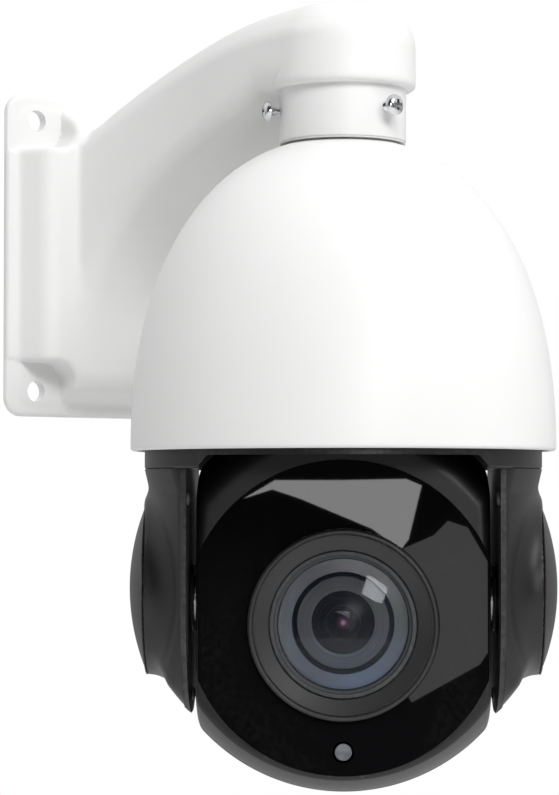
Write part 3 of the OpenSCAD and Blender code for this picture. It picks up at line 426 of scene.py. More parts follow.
def ring_tree():
    """Geometry Nodes that set a form round a circle, each leaning outwards by the same angle."""
    tree = bpy.data.node_groups.new("ring_of_parts", "GeometryNodeTree")
    tree.interface.new_socket(name="Geometry", in_out="INPUT", socket_type="NodeSocketGeometry")
    tree.interface.new_socket(name="Geometry", in_out="OUTPUT", socket_type="NodeSocketGeometry")
    for label, kind in (("Form", "Object"), ("Count", "Int"), ("Radius", "Float"), ("First Angle", "Float"),
                        ("Spread", "Float"), ("Lean", "Float"), ("Centre", "Vector"), ("Finish", "Material")):
        tree.interface.new_socket(name=label, in_out="INPUT", socket_type="NodeSocket" + kind)
    given = tree.nodes.new("NodeGroupInput").outputs
    number = node(tree, "GeometryNodeInputIndex").outputs[0]
    turn = node(tree, "ShaderNodeMath", operation="MULTIPLY_ADD")
    tree.links.new(number, turn.inputs[0])
    tree.links.new(given["Spread"], turn.inputs[1])
    tree.links.new(given["First Angle"], turn.inputs[2])
    x = node(tree, "ShaderNodeMath", operation="COSINE")
    y = node(tree, "ShaderNodeMath", operation="SINE")
    tree.links.new(turn.outputs[0], x.inputs[0])
    tree.links.new(turn.outputs[0], y.inputs[0])
    direction = node(tree, "ShaderNodeCombineXYZ", X=x.outputs[0], Y=y.outputs[0])
    scaled = node(tree, "ShaderNodeVectorMath", operation="SCALE")
    tree.links.new(direction.outputs[0], scaled.inputs[0])
    tree.links.new(given["Radius"], scaled.inputs["Scale"])
    spot = node(tree, "ShaderNodeVectorMath", operation="ADD")
    tree.links.new(scaled.outputs[0], spot.inputs[0])
    tree.links.new(given["Centre"], spot.inputs[1])
    spots = node(tree, "GeometryNodePoints", Count=given["Count"], Position=spot.outputs[0])
    form = node(tree, "GeometryNodeObjectInfo", Object=given["Form"])
    lean = node(tree, "ShaderNodeCombineXYZ", Y=given["Lean"], Z=turn.outputs[0])
    placed = node(tree, "GeometryNodeInstanceOnPoints", Points=spots.outputs[0],
                  Instance=form.outputs["Geometry"],
                  Rotation=lean.outputs[0])
    whole = node(tree, "GeometryNodeRealizeInstances", Geometry=placed.outputs[0])
    painted = node(tree, "GeometryNodeSetMaterial", Geometry=whole.outputs[0], Material=given["Finish"])
    result = tree.nodes.new("NodeGroupOutput")
    tree.links.new(painted.outputs[0], result.inputs["Geometry"])
    return tree


part_ring = ring_tree()


def ring_of(name, form, material, count, radius, centre, first, lean, spread=None):
    """Parts set round the pan axis or another centre, in millimetres and degrees, as one plain mesh."""
    made = piece(name, [(0, 0, 0)], [])
    change = made.modifiers.new("ring", "NODES")
    change.node_group = part_ring
    values = {"Form": form, "Count": count, "Radius": radius / 1000, "First Angle": math.radians(first),
              "Spread": math.radians(360 / count if spread is None else spread), "Lean": math.radians(lean),
              "Centre": tuple(c / 1000 for c in centre), "Finish": material}
    for socket in part_ring.interface.items_tree:
        if socket.in_out == "INPUT" and socket.name in values:
            change[socket.identifier] = values[socket.name]
    applied(made)
    return shaded(made, 30)


bright_zinc = finish("bright_zinc", (0.78, 0.79, 0.8), (0.62, 0.63, 0.66), 0.2, 0.8, 0.004,
                     (0.9, 0.9, 0.92), 0.5,
                     8.0, metal=1.0)
neck_form = screw_form(M4, 12, 0.7)
neck_screw_z = sleeve_low + 11.9
neck_screws = ring_of("neck_screws_zinc", neck_form, bright_zinc, 3, sleeve_r + 4, (0, pan_y, neck_screw_z),
                      30, 90)
fit(neck_screws, bright_zinc, "fixed", "zinc_steel", "neck_screws")

turned_aluminium = finish("turned_aluminium", (0.76, 0.77, 0.78), (0.66, 0.67, 0.68), 0.34, 0.6, 0.006,
                          (0.86, 0.86, 0.87), 0.4, 12.0, metal=1.0)
seal_rubber = finish("seal_rubber", (0.035, 0.035, 0.036), (0.02, 0.02, 0.021), 0.75, 0.4, 0.02,
                     (0.06, 0.06, 0.06),
                     0.3, 10.0)


def refinish(material, *names):
    for name in names:
        for slot in frame["nodes"][name].material_slots:
            slot.material = material


refinish(turned_aluminium, "neck_stub")
grey_silicone = finish("grey_silicone", (0.72, 0.72, 0.71), (0.66, 0.66, 0.65), 0.6, 0.4, 0.02,
                       (0.8, 0.8, 0.8), 0.2,
                       10.0)
refinish(seal_rubber, "flange_gasket")
refinish(grey_silicone, "neck_seal")

flange_form = screw_form(M4, 8, 0.7)
stub_low = box_mm("neck_stub")[0][2]
flange_screws = ring_of("flange_screws_zinc", flange_form, bright_zinc, 4, 25.5, (0, pan_y, stub_low), 45,
                        180)
fit(flange_screws, bright_zinc, "fixed", "zinc_steel", "flange_screws")

# ---- Dome housing ----
# A spun and painted aluminium bell. Its side falls in one long curve from a small flat round the neck to a
# plumb rim, and three bosses inside take the screws of the chassis plate.
DOME_R = 82.5
DOME_WALL = 3.0
DOME_POWER = 2.25
dome_high = box_mm("neck_seal")[0][2] - rim
dome_peak = dome_high + 2.4


def dome_side(low, high, wall, steps=72):
    heights = [low + (high - low) * math.sin(math.pi / 2 * i / steps) for i in range(steps + 1)]
    return [(DOME_R * (1 - (h / dome_peak) ** DOME_POWER) ** (1 / DOME_POWER) - wall,
             rim + h) for h in heights]


ceiling = dome_high - 7
dome = piece("dome_housing_shell", *turned(
    [(DOME_R - 2.2, rim)] + arc(DOME_R - 1.3, rim + 1.3, 1.3, -80, -10, 6) + dome_side(2, dome_high, 0)
    + [(21.6, rim + dome_high), (21.6, rim + ceiling)] + dome_side(0.6, ceiling, DOME_WALL)[::-1]
    + [(DOME_R - DOME_WALL + 0.4, rim)], 256, (0, pan_y, 0)))
chassis_low = box_mm("chassis_plate")[0][2]
for boss_angle in (30, 150, 270):
    boss_x = 60 * math.cos(math.radians(boss_angle))
    boss_y = pan_y + 60 * math.sin(math.radians(boss_angle))
    top = rim + dome_peak * (1 - (64.5 / DOME_R) ** DOME_POWER) ** (1 / DOME_POWER) - 1
    dome = cut(dome, rod(4.5, (boss_x, boss_y, chassis_low + 2), (boss_x, boss_y, top), 40), "UNION")
    dome = cut(dome, rod(1.5, (boss_x, boss_y, chassis_low), (boss_x, boss_y, chassis_low + 12), 24))
shaded(dome, 34)
fit(dome, powder_coat, "fixed", "white_paint", "dome_housing")

# ---- Pan drive ----
# Inside the dome a plated steel plate carries the bearing housing, the main board on its pillars and the
# pan motor. The motor turns the big pulley on the hollow shaft through a toothed belt, and a slip ring
# brings the wires through.
plated_sheet = finish("plated_sheet", (0.62, 0.63, 0.64), (0.5, 0.51, 0.52), 0.3, 0.5, 0.006,
                      (0.8, 0.8, 0.8), 0.4,
                      15.0, metal=1.0)
solder_mask = finish("solder_mask", (0.015, 0.14, 0.06), (0.01, 0.1, 0.045), 0.3, 1.2, 0.02,
                     (0.05, 0.2, 0.1), 0.2,
                     6.0, coat=0.4)
chip_epoxy = finish("chip_epoxy", (0.035, 0.035, 0.036), (0.02, 0.02, 0.02), 0.55, 0.3, 0.01,
                    (0.08, 0.08, 0.08),
                    0.3, 5.0)
pillar_brass = finish("pillar_brass", (0.78, 0.6, 0.27), (0.66, 0.49, 0.2), 0.28, 0.4, 0.004,
                      (0.9, 0.75, 0.4), 0.4,
                      6.0, metal=1.0)
motor_paint = finish("motor_paint", (0.06, 0.06, 0.065), (0.04, 0.04, 0.045), 0.4, 0.5, 0.01,
                     (0.3, 0.3, 0.3), 0.4,
                     12.0, coat=0.2)
drive_plastic = finish("drive_plastic", (0.016, 0.016, 0.0165), (0.011, 0.011, 0.0115), 0.5, 0.4, 0.02,
                       (0.12, 0.12, 0.12), 0.3, 12.0)
belt_rubber = finish("belt_rubber", (0.03, 0.03, 0.03), (0.018, 0.018, 0.018), 0.7, 0.25, 0.03,
                     (0.05, 0.05, 0.05),
                     0.2, 6.0)
refinish(plated_sheet, "chassis_plate", "tilt_motor_bracket", "module_bracket")
refinish(turned_aluminium, "bearing_housing", "pan_shaft", "tilt_pulley", "pan_pulley")
refinish(bright_zinc, "pan_bearing_outer_rings", "pan_bearing_inner_rings", "pan_bearing_balls",
         "pan_shaft_nut",
         "board_screws", "axle_clips", "tilt_axle_left", "tilt_axle_right")
refinish(solder_mask, "main_board", "sensor_board")
refinish(chip_epoxy, "main_board_parts")
refinish(pillar_brass, "board_standoffs", "pan_motor_pulley", "tilt_motor_pulley")
refinish(motor_paint, "pan_motor", "tilt_motor")
refinish(drive_plastic, "slip_ring_body", "slip_ring_rotor", "zoom_module")
refinish(belt_rubber, "pan_belt", "tilt_belt", "pan_seal", "glass_seal")

chassis_form = screw_form(M3, 8, 0.5)
chassis_screws = ring_of("chassis_screws_zinc", chassis_form, bright_zinc, 3, 60, (0, pan_y, chassis_low),
                         30, 180)
fit(chassis_screws, bright_zinc, "fixed", "zinc_steel", "chassis_screws")

# ---- Turntable ----
# The black moulded band that shows under the dome turns with the yoke. It is a shallow tub upside down: a
# deck, a skirt with a low notch front and back for the head, and a thick pad at each side for the arms to
# hang from.
rest_pan = math.degrees(math.atan2(joints["tilt"]["axis"][1], joints["tilt"]["axis"][0]))
in_pan = Matrix.Translation((0, pan_y / 1000, rim / 1000)) @ Matrix.Rotation(math.radians(rest_pan), 4, "Z")
BAND_R = 77.0
BAND_DROP = 7.0
DECK = 23.0


def prism(points, low, high, turn):
    """A tool from an outline in X and Z, standing between two places along Y."""
    n = len(points)
    if sum(a[0] * b[1] - b[0] * a[1] for a, b in zip(points, points[1:] + points[:1])) < 0:
        points = points[::-1]
    corners = [(x, low, z) for x, z in points] + [(x, high, z) for x, z in points]
    faces = [tuple(range(n)), tuple(range(2 * n - 1, n - 1, -1))]
    faces += [(i, i + n, (i + 1) % n + n, (i + 1) % n) for i in range(n)]
    return piece("tool", corners, faces, turn)


def turned_in(turn, name, profile, steps=160):
    return piece(name, *turned(profile, steps), turn)


def softened(made, width, segments=2, angle=35):
    """Breaks the sharp edges of a moulding."""
    change = made.modifiers.new("edges", "BEVEL")
    change.width = width / 1000
    change.segments = segments
    change.limit_method = "ANGLE"
    change.angle_limit = math.radians(angle)
    change.use_clamp_overlap = True
    return applied(made)


band = turned_in(in_pan, "turntable_moulding", [(0, -BAND_DROP), (BAND_R - 1, -BAND_DROP)]
                 + arc(BAND_R - 1, 1 - BAND_DROP, 1, -80, 0, 5) + [(BAND_R, DECK - 0.6),
                     (BAND_R - 0.6, DECK), (0, DECK)],
                 256)
hollow = turned_in(in_pan, "tool", [(0, -12), (BAND_R - 2.5, -12), (BAND_R - 2.5, DECK - 3), (0, DECK - 3)],
                   192)
hollow = cut(hollow, prism([(-58.5, -20), (58.5, -20), (58.5, 30), (-58.5, 30)], -90, 90, in_pan),
             "INTERSECT")
band = cut(band, hollow)
band = cut(band,
           prism([(-55, -8), (55, -8), (54, -7), (50.3, -2.6), (49.6, -2.2), (-49.6, -2.2), (-50.3, -2.6),
                        (-54, -7)], -90, 90, in_pan))
band = cut(band, turned_in(in_pan, "tool", [(0, 0), (8, 0), (8, 40), (0, 40)], 64))
for side in (-1, 1):
    band = cut(band, prism([(side * 62.5, -20), (side * 71.5, -20), (side * 71.5, 40), (side * 62.5, 40)],
                           -16, 16,
                           in_pan))
    for hole_y in (-32, 32):
        for hole_r, low, high in ((2.0, -12, 40), (4.3, -BAND_DROP + 5, 40)):
            spot = in_pan @ Vector((side * 0.064, hole_y / 1000, 0)) * 1000
            band = cut(band, rod(hole_r, (spot.x, spot.y, rim + low), (spot.x, spot.y, rim + high), 32))
shaded(band, 30)
satin_black = finish("satin_black_moulding", (0.0065, 0.0065, 0.007), (0.0045, 0.0045, 0.005), 0.4, 0.45,
                     0.012,
                     (0.09, 0.09, 0.09), 0.35, 35.0)
fit(band, satin_black, "pan", "satin_black", "turntable")

# ---- Yoke arms ----
# Two hollow black mouldings hang from the band, one each side of the head. Each is round in plan like the
# band, flat inside, slanted underneath, and swells into a round boss that carries the tilt axle behind a
# domed cap.
tilt_h = joints["tilt"]["pos_m"][2] * 1000 - rim
ear_h = tilt_h + 4.2
ARM_IN = 60.5
ARM_R = 45.0
EAR_R = 34.0
EAR_X = 75.5
TUB = 2.5


def arm_outside(x, y, z):
    reach = np.hypot(x, y) - np.interp(z, [-110, -BAND_DROP - 10, -BAND_DROP], [74.2, 74.7, BAND_R])
    side = np.where(z > tilt_h, abs(y), np.hypot(y, z - tilt_h)) - ARM_R
    slant = (tilt_h - 45 + 15 / 9.3 * (x - 58) - z) * math.cos(math.atan(15 / 9.3))
    arm = rounded_and(reach, side, 3)
    arm = rounded_and(arm, slant, 2.5)
    ear = rounded_and(np.hypot(y, z - ear_h) - EAR_R, x - EAR_X, 0.8)
    return filleted_or(arm, ear, 6)


def arm_shape(x, y, z):
    whole = arm_outside(x, y, z)
    hollow = np.maximum(whole + TUB, z + BAND_DROP + 3)
    walls = np.maximum(whole, -hollow)
    for boss_y, boss_z in ((-ARM_R + 8, -18), (ARM_R - 8, -18), (0, tilt_h - ARM_R + 8)):
        boss = np.maximum(np.hypot(y - boss_y, z - boss_z) - 3.5, x - ARM_IN - 6)
        walls = np.minimum(walls, np.maximum(boss, whole))
    for boss_y in (-32, 32):
        boss = np.maximum(np.hypot(x - 64, y - boss_y) - 3.9, -z - BAND_DROP - 9)
        walls = np.minimum(walls, np.maximum(boss, whole))
    return np.maximum(np.maximum(walls, ARM_IN - 2 - x), z + BAND_DROP - 2)


arm_points, arm_faces = skin(arm_shape, (ARM_IN - 4, -48, tilt_h - 48), (80, 48, -BAND_DROP + 4), 0.95)
for side, word in ((-1, "left"), (1, "right")):
    points = arm_points * (side, 1, 1)
    arm = piece("yoke_arm_" + word + "_moulding", points, arm_faces[:, ::side], in_pan)
    arm = cut(arm, prism([(side * 40, -140), (side * ARM_IN, -140), (side * ARM_IN, 5), (side * 40, 5)],
                         -60, 60, in_pan),
              solver="EXACT")
    arm = cut(arm, prism([(side * 40, -BAND_DROP), (side * 90, -BAND_DROP), (side * 90, 5), (side * 40, 5)],
                         -60, 60,
                         in_pan), solver="EXACT")
    arm = cut(arm, prism([(side * 62.5, -16), (side * 71.5, -16), (side * 71.5, 5), (side * 62.5, 5)], -16,
                         16, in_pan),
              solver="EXACT")
    shaded(arm, 38)
    fit(arm, satin_black, "pan", "satin_black", "yoke_arm_" + word)

    # The cap snaps over the boss, with a fine seam round it
    rise = 7.2
    lens_r = (EAR_R ** 2 + rise ** 2) / (2 * rise)
    edge = math.asin((EAR_R - 0.4) / lens_r)
    cap = [(0, 0.02), (EAR_R - 0.6, 0.02), (EAR_R - 0.6, 0.15), (EAR_R - 0.1, 0.15), (EAR_R - 0.05, 0.5)]
    cap += [(lens_r * math.sin(edge * (1 - i / 20)), lens_r * math.cos(edge * (1 - i / 20)) - lens_r + rise)
            for i in range(21)]
    cap_points, cap_faces = turned([(max(r, 0), h) for r, h in cap], 160)
    cap_points = [(side * (EAR_X + z), y, ear_h + side * -x if side > 0 else ear_h + x) for x, y,
                  z in cap_points]
    cap = shaded(piece("ear_cap_" + word + "_moulding", cap_points, cap_faces, in_pan), 35)
    fit(cap, satin_black, "pan", "satin_black", "ear_cap_" + word)

refinish(drive_plastic, "arm_cover_left", "arm_cover_right", "tilt_bushes")
refinish(motor_paint, "cover_screws")
refinish(bright_zinc, "arm_screws", "pan_shaft_screws", "bearing_housing_screws", "head_screws")

# ---- Head ----
# A ball of two black shells, flat at both sides and in front, joined behind the flat front by four screws.
# The front shell has a rounded shoulder over the glass and a thin rim all round it.
HEAD_R = 74.5
HEAD_X = 55.5
GLASS_Y = -33.0
GLASS_R = 59.2
GLASS_DROP = 6.2
SPLIT = -14.0
SHELL = 2.5
in_head = in_pan @ Matrix.Translation((0, 0, tilt_h / 1000))


def head_outside(x, y, z, less=0.0):
    ball = rounded_and(np.sqrt(x * x + y * y + z * z) - HEAD_R + less, abs(x) - HEAD_X + less, 1.6)
    shoulder = 0.8 + 4.7 * np.clip((z + 15) / 60, 0, 1)
    return rounded_and(ball, GLASS_Y + less - y, shoulder)


def shell_shape(low, high):
    def shape(x, y, z):
        inner = np.maximum(head_outside(x, y, z, SHELL), -26.7 - y)
        walls = rounded_and(head_outside(x, y, z), -inner, 0.4)
        for boss_x, boss_z in ((-38, 28), (38, 28), (-38, -42), (38, -42)):
            boss = np.maximum(np.hypot(x - boss_x, z - boss_z) - 4, y - SPLIT - 14)
            walls = np.minimum(walls, np.maximum(boss, head_outside(x, y, z)))
        walls = rounded_and(walls, low - y, 0.5)
        return rounded_and(walls, y - high, 0.5)
    return shape


def glass_outline(r, x):
    """A circle cut off by two flat sides, in X and Z from the tilt axis."""
    tip = math.degrees(math.acos(x / r))
    return arc(0, -GLASS_DROP, r, tip, 180 - tip, 96) + arc(0, -GLASS_DROP, r, 180 + tip, 360 - tip, 96)


front_shell = piece("head_front_shell_moulding",
                    *skin(shell_shape(GLASS_Y - 5, SPLIT - 0.12), (-58, -36, -77), (58, -12, 77), 0.95),
                    in_head)
front_shell = cut(front_shell, prism(glass_outline(GLASS_R + 0.15, HEAD_X - 0.9), -40, -29.2, in_head))
front_shell = cut(front_shell, prism(glass_outline(GLASS_R - 3.4, HEAD_X - 4.4), -40, -20, in_head))
shaded(front_shell, 38)
fit(front_shell, satin_black, "head", "satin_black", "head_front_shell")

rear_shell = piece("head_rear_shell_moulding",
                   *skin(shell_shape(SPLIT + 0.12, 90), (-58, -16, -77), (58, 77, 77), 1.15), in_head)
for side in (-1, 1):
    start = in_head @ Vector((side * 0.050, 0, 0)) * 1000
    end = in_head @ Vector((side * 0.060, 0, 0)) * 1000
    rear_shell = cut(rear_shell, rod(9, start, end, 96))
shaded(rear_shell, 38)
fit(rear_shell, satin_black, "head", "satin_black", "head_rear_shell")

# ---- Front glass ----
# A smoked black acrylic plate, polished, that fills the flat front. It is bored for the lens and for the
# small clear window of the light sensor, and it sits on a rubber seal in the front shell.
LENS_RING_R = 36.0
LENS_Z = -9.0
WINDOW_R = 3.2
WINDOW_Z = -GLASS_DROP - 50.4


def drilled(made, r, z, low, high):
    start = in_head @ Vector((0, low / 1000, z / 1000)) * 1000
    end = in_head @ Vector((0, high / 1000, z / 1000)) * 1000
    return cut(made, rod(r, start, end, 160))


glass = prism(glass_outline(GLASS_R, HEAD_X - 1.2), GLASS_Y, GLASS_Y + 3, in_head)
glass.name = "front_glass_plate"
glass = drilled(glass, LENS_RING_R + 0.25, LENS_Z, -40, -20)
glass = drilled(glass, WINDOW_R + 0.9, WINDOW_Z, -40, -20)
glass = softened(glass, 0.35, 2)
shaded(glass, 20)
smoked = finish("smoked_acrylic", (0.004, 0.004, 0.0045), (0.003, 0.003, 0.0035), 0.012, 3.0, 0.0001,
                (0.02, 0.02, 0.02), 0.2, 50.0)
fit(glass, smoked, "head", "black_glass", "front_glass")

window_y = GLASS_Y + 0.25
window = piece("sensor_window_pipe", *turned(
    [(0, 0.35), (1.6, 0.25), (2.6, 0.02), (WINDOW_R - 0.25, 0), (WINDOW_R, 0.25), (WINDOW_R, 2.6),
     (0, 2.6)], 64),
    in_head @ Matrix.Translation((0, window_y / 1000, WINDOW_Z / 1000)) @ Matrix.Rotation(-math.pi / 2, 4,
        "X"))
shaded(window, 30)
milky = finish("clear_light_pipe", (0.16, 0.165, 0.18), (0.1, 0.105, 0.12), 0.18, 0.8, 0.01,
               (0.7, 0.7, 0.7), 0.2, 2.0,
               coat=0.6)
fit(window, milky, "head", "clear_window", "sensor_window")

# ---- Lens ----
# A black anodised ring frames the zoom lens. Behind its domed, coated front element a stepped cone, whose
# pale blue-grey is a painted reflection and whose whitish patch is a painted highlight, leads back to the
# moving cells of the zoom and the focus groups.
ELEMENT_R = 25.0
BARREL_R = 28.0
on_lens = in_head @ Matrix.Translation((0, 0, LENS_Z / 1000)) @ Matrix.Rotation(-math.pi / 2, 4, "X")
ring_front = GLASS_Y - 2.2
ring_profile = [(BARREL_R + 0.05, 3.4), (BARREL_R + 0.3, 3.1), (28.9, 2.9), (33.2, 1.35), (33.3, 1.0),
                (33.7, 0.85)]
ring_profile += [(33.8, 1.4), (34.15, 1.4), (34.2, 0.5), (34.5, 0.12), (34.9, 0.0), (35.3, 0.08), (35.7, 0.4)]
ring_profile += [(LENS_RING_R, 0.95), (LENS_RING_R, 6.0), (BARREL_R + 0.05, 6.0)]
ring_profile = [(r, h + ring_front) for r, h in ring_profile]
lens_ring = shaded(piece("lens_ring_turned", *turned(ring_profile, 256), on_lens), 25)
anodised = finish("anodised_black", (0.026, 0.026, 0.027), (0.019, 0.019, 0.02), 0.42, 0.5, 0.006,
                  (0.2, 0.2, 0.2), 0.3, 15.0)
fit(lens_ring, anodised, "head", "lens_trim", "lens_ring")

barrel_front = -31.2
seat = barrel_front + 7
cone = []
for i in range(12):
    r = 24.6 - i * 0.42
    cone += [(r, seat + i * 0.5), (r - 0.3, seat + i * 0.5 + 0.05), (r - 0.42, seat + i * 0.5 + 0.45)]
barrel_profile = [(BARREL_R, 0.0), (BARREL_R, barrel_front + 0.5), (BARREL_R - 0.5, barrel_front),
                  (ELEMENT_R + 1.2, barrel_front), (ELEMENT_R + 1, barrel_front + 2.2),
                  (ELEMENT_R + 0.03, barrel_front + 2.3), (ELEMENT_R + 0.03, seat)]
barrel_profile += cone + [(19.5, seat + 6.2), (19.5, 0.0)]
barrel = shaded(piece("lens_barrel_turned", *turned(barrel_profile, 192), on_lens), 25)
barrel_black = finish("barrel_black", (0.05, 0.052, 0.056), (0.035, 0.037, 0.04), 0.45, 0.5, 0.006,
                      (0.2, 0.2, 0.2), 0.3, 15.0)
fit(barrel, barrel_black, "head", "lens_trim", "lens_barrel")


# Marks of turning: Height for the fine rings, Turn for the place round the lens axis and Away for the radius
turning, into, out = group("turned_rings", [("Fineness", 14000.0)], ["Height", "Turn", "Away"])
place = node(turning, "ShaderNodeTexCoord").outputs["Object"]
offset = node(turning, "ShaderNodeVectorMath", operation="SUBTRACT")
turning.links.new(place, offset.inputs[0])
offset.inputs[1].default_value = on_lens.translation
across = node(turning, "ShaderNodeVectorMath", operation="DOT_PRODUCT")
turning.links.new(offset.outputs[0], across.inputs[0])
across.inputs[1].default_value = on_lens.to_3x3() @ Vector((1, 0, 0))
upright = node(turning, "ShaderNodeSeparateXYZ", Vector=offset.outputs[0])
angle = node(turning, "ShaderNodeMath", operation="ARCTAN2")
turning.links.new(upright.outputs["Z"], angle.inputs[0])
turning.links.new(across.outputs["Value"], angle.inputs[1])
share = node(turning, "ShaderNodeMapRange", Value=angle.outputs[0], From_Min=-math.pi, From_Max=math.pi)
turning.links.new(share.outputs[0], out.inputs["Turn"])
deep = node(turning, "ShaderNodeVectorMath", operation="LENGTH")
turning.links.new(offset.outputs[0], deep.inputs[0])
fast = node(turning, "ShaderNodeMath", operation="MULTIPLY")
turning.links.new(deep.outputs["Value"], fast.inputs[0])
turning.links.new(into.outputs["Fineness"], fast.inputs[1])
wave = node(turning, "ShaderNodeMath", operation="SINE")
turning.links.new(fast.outputs[0], wave.inputs[0])
turning.links.new(wave.outputs[0], out.inputs["Height"])
aside = node(turning, "ShaderNodeVectorMath", operation="CROSS_PRODUCT")
turning.links.new(offset.outputs[0], aside.inputs[0])
aside.inputs[1].default_value = on_lens.to_3x3() @ Vector((0, 0, 1))
away = node(turning, "ShaderNodeVectorMath", operation="LENGTH")
turning.links.new(aside.outputs[0], away.inputs[0])
turning.links.new(away.outputs["Value"], out.inputs["Away"])


def turned_marks(tree):
    marks = tree.nodes.new("ShaderNodeGroup")
    marks.node_tree = turning
    return marks


def painted_highlight_round_axis(name, painted_tints, rough):
    """A surface tinted round the lens axis with painted highlight and reflection, turning rings as bump."""
    made = bpy.data.materials.new(name)
    made.use_nodes = True
    tree = made.node_tree
    shader = tree.nodes["Principled BSDF"]
    marks = turned_marks(tree)
    # The colour that this ramp sets round the axis is painted highlight and painted reflection
    tint = node(tree, "ShaderNodeValToRGB", Fac=marks.outputs["Turn"])
    ramp = tint.color_ramp
    ramp.interpolation = "EASE"
    ramp.elements[0].color = ramp.elements[1].color = (*painted_tints[0][1], 1)
    for at, colour in painted_tints[1:]:
        ramp.elements.new(at).color = (*colour, 1)
    place = node(tree, "ShaderNodeTexCoord").outputs["Object"]
    streaks = node(tree, "ShaderNodeTexNoise", Vector=place, Scale=420.0, Detail=3.0)
    mixed = node(tree, "ShaderNodeMix", data_type="RGBA", blend_type="MULTIPLY")
    mixed.inputs[0].default_value = 0.25
    tree.links.new(tint.outputs[0], mixed.inputs[6])
    tree.links.new(streaks.outputs["Color"], mixed.inputs[7])
    tree.links.new(mixed.outputs[2], shader.inputs["Base Color"])
    relief = node(tree, "ShaderNodeBump", Strength=0.5, Distance=0.00004, Height=marks.outputs["Height"])
    tree.links.new(relief.outputs[0], shader.inputs["Normal"])
    shader.inputs["Roughness"].default_value = rough
    return made


# The cone's pale blue-grey is a painted reflection of the soft boxes, and its whitish patch a painted
# highlight
cone_painted_reflection = painted_highlight_round_axis("barrel_cone_painted_reflection", [
    (0, (0.42, 0.46, 0.53)), (0.15, (0.3, 0.34, 0.42)), (0.3, (0.42, 0.53, 0.75)), (0.42, (0.46, 0.53, 0.66)),
    (0.5, (0.56, 0.68, 0.64)), (0.6, (0.95, 0.95, 0.97)), (0.7, (0.85, 0.85, 0.88)),
    (0.85, (0.5, 0.5, 0.54))], 0.32)
barrel.data.materials.append(cone_painted_reflection)
lens_axis_in = on_lens.inverted()
for face in barrel.data.polygons:
    spot = lens_axis_in @ face.center * 1000
    if math.hypot(spot.x, spot.y) < 24.8 and seat - 0.2 < spot.z < seat + 6.1:
        face.material_index = 1

element_rise = 3.2
curve_r = (ELEMENT_R ** 2 + element_rise ** 2) / (2 * element_rise)
element_edge = math.asin(ELEMENT_R / curve_r)
element_profile = [(0, seat - 0.02), (ELEMENT_R, seat - 0.02), (ELEMENT_R, seat - 2)]
element_profile += [(curve_r * math.sin(a), seat - 2 - (curve_r * math.cos(a) - curve_r + element_rise))
                    for a in [element_edge * (1 - i / 40) for i in range(1, 41)]]
element = shaded(piece("front_element_lens", *turned([(max(r, 0), h) for r, h in element_profile], 192),
                       on_lens), 30)


def coated_glass():
    """Clear glass with a thin coating, whose tint changes from the middle to the edge."""
    made = bpy.data.materials.new("coated_front_glass")
    made.use_nodes = True
    tree = made.node_tree
    shader = tree.nodes["Principled BSDF"]
    centre = on_lens.translation
    place = node(tree, "ShaderNodeTexCoord").outputs["Object"]
    away = node(tree, "ShaderNodeVectorMath", operation="DISTANCE")
    tree.links.new(place, away.inputs[0])
    away.inputs[1].default_value = centre
    tint = node(tree, "ShaderNodeValToRGB", Fac=node(
        tree, "ShaderNodeMapRange", Value=away.outputs["Value"], From_Min=0.026, From_Max=0.042).outputs[0])
    tint.color_ramp.elements[0].color = (0.02, 0.022, 0.03, 1)
    tint.color_ramp.elements[1].color = (0.03, 0.04, 0.05, 1)
    tree.links.new(tint.outputs[0], shader.inputs["Base Color"])
    shader.inputs["Roughness"].default_value = 0.02
    shader.inputs["Specular IOR Level"].default_value = 0.5
    shader.inputs["Coat Weight"].default_value = 0.5
    shader.inputs["Coat Roughness"].default_value = 0.02
    shader.inputs["Coat Tint"].default_value = (0.75, 0.85, 1.0, 1)
    shader.inputs["Alpha"].default_value = 0.26
    return made


fit(element, coated_glass(), "head", "coated_lens", "front_element")

def lens_with_painted_glint(name, half):
    """Near-black lens: rings are painted reflections of the mounts, the pink-white centre a painted glint."""
    made = bpy.data.materials.new(name)
    made.use_nodes = True
    tree = made.node_tree
    shader = tree.nodes["Principled BSDF"]
    marks = turned_marks(tree)
    share = node(tree, "ShaderNodeMapRange", Value=marks.outputs["Away"], From_Min=0.0, From_Max=half / 1000)
    tone = node(tree, "ShaderNodeValToRGB", Fac=share.outputs[0])
    ramp = tone.color_ramp
    # The pink-white centre is a painted glint, and the faint lighter rings further out are painted
    # reflections of the mounts
    ramp.elements[0].color = (0.95, 0.75, 0.9, 1)
    ramp.elements[1].color = (0.012, 0.012, 0.014, 1)
    for at, colour in ((0.06, (0.7, 0.35, 0.55)), (0.11, (0.16, 0.05, 0.12)), (0.2, (0.05, 0.02, 0.04)),
                       (0.24, (0.006, 0.005, 0.007)), (0.5, (0.01, 0.01, 0.012)), (0.53, (0.05, 0.05, 0.055)),
                       (0.56, (0.008, 0.008, 0.01)), (0.74, (0.01, 0.01, 0.012)), (0.76, (0.04, 0.04, 0.045)),
                       (0.79, (0.008, 0.008, 0.009)), (0.9, (0.03, 0.03, 0.033))):
        ramp.elements.new(at).color = (*colour, 1)
    tree.links.new(tone.outputs[0], shader.inputs["Base Color"])
    shader.inputs["Roughness"].default_value = 0.3
    return made
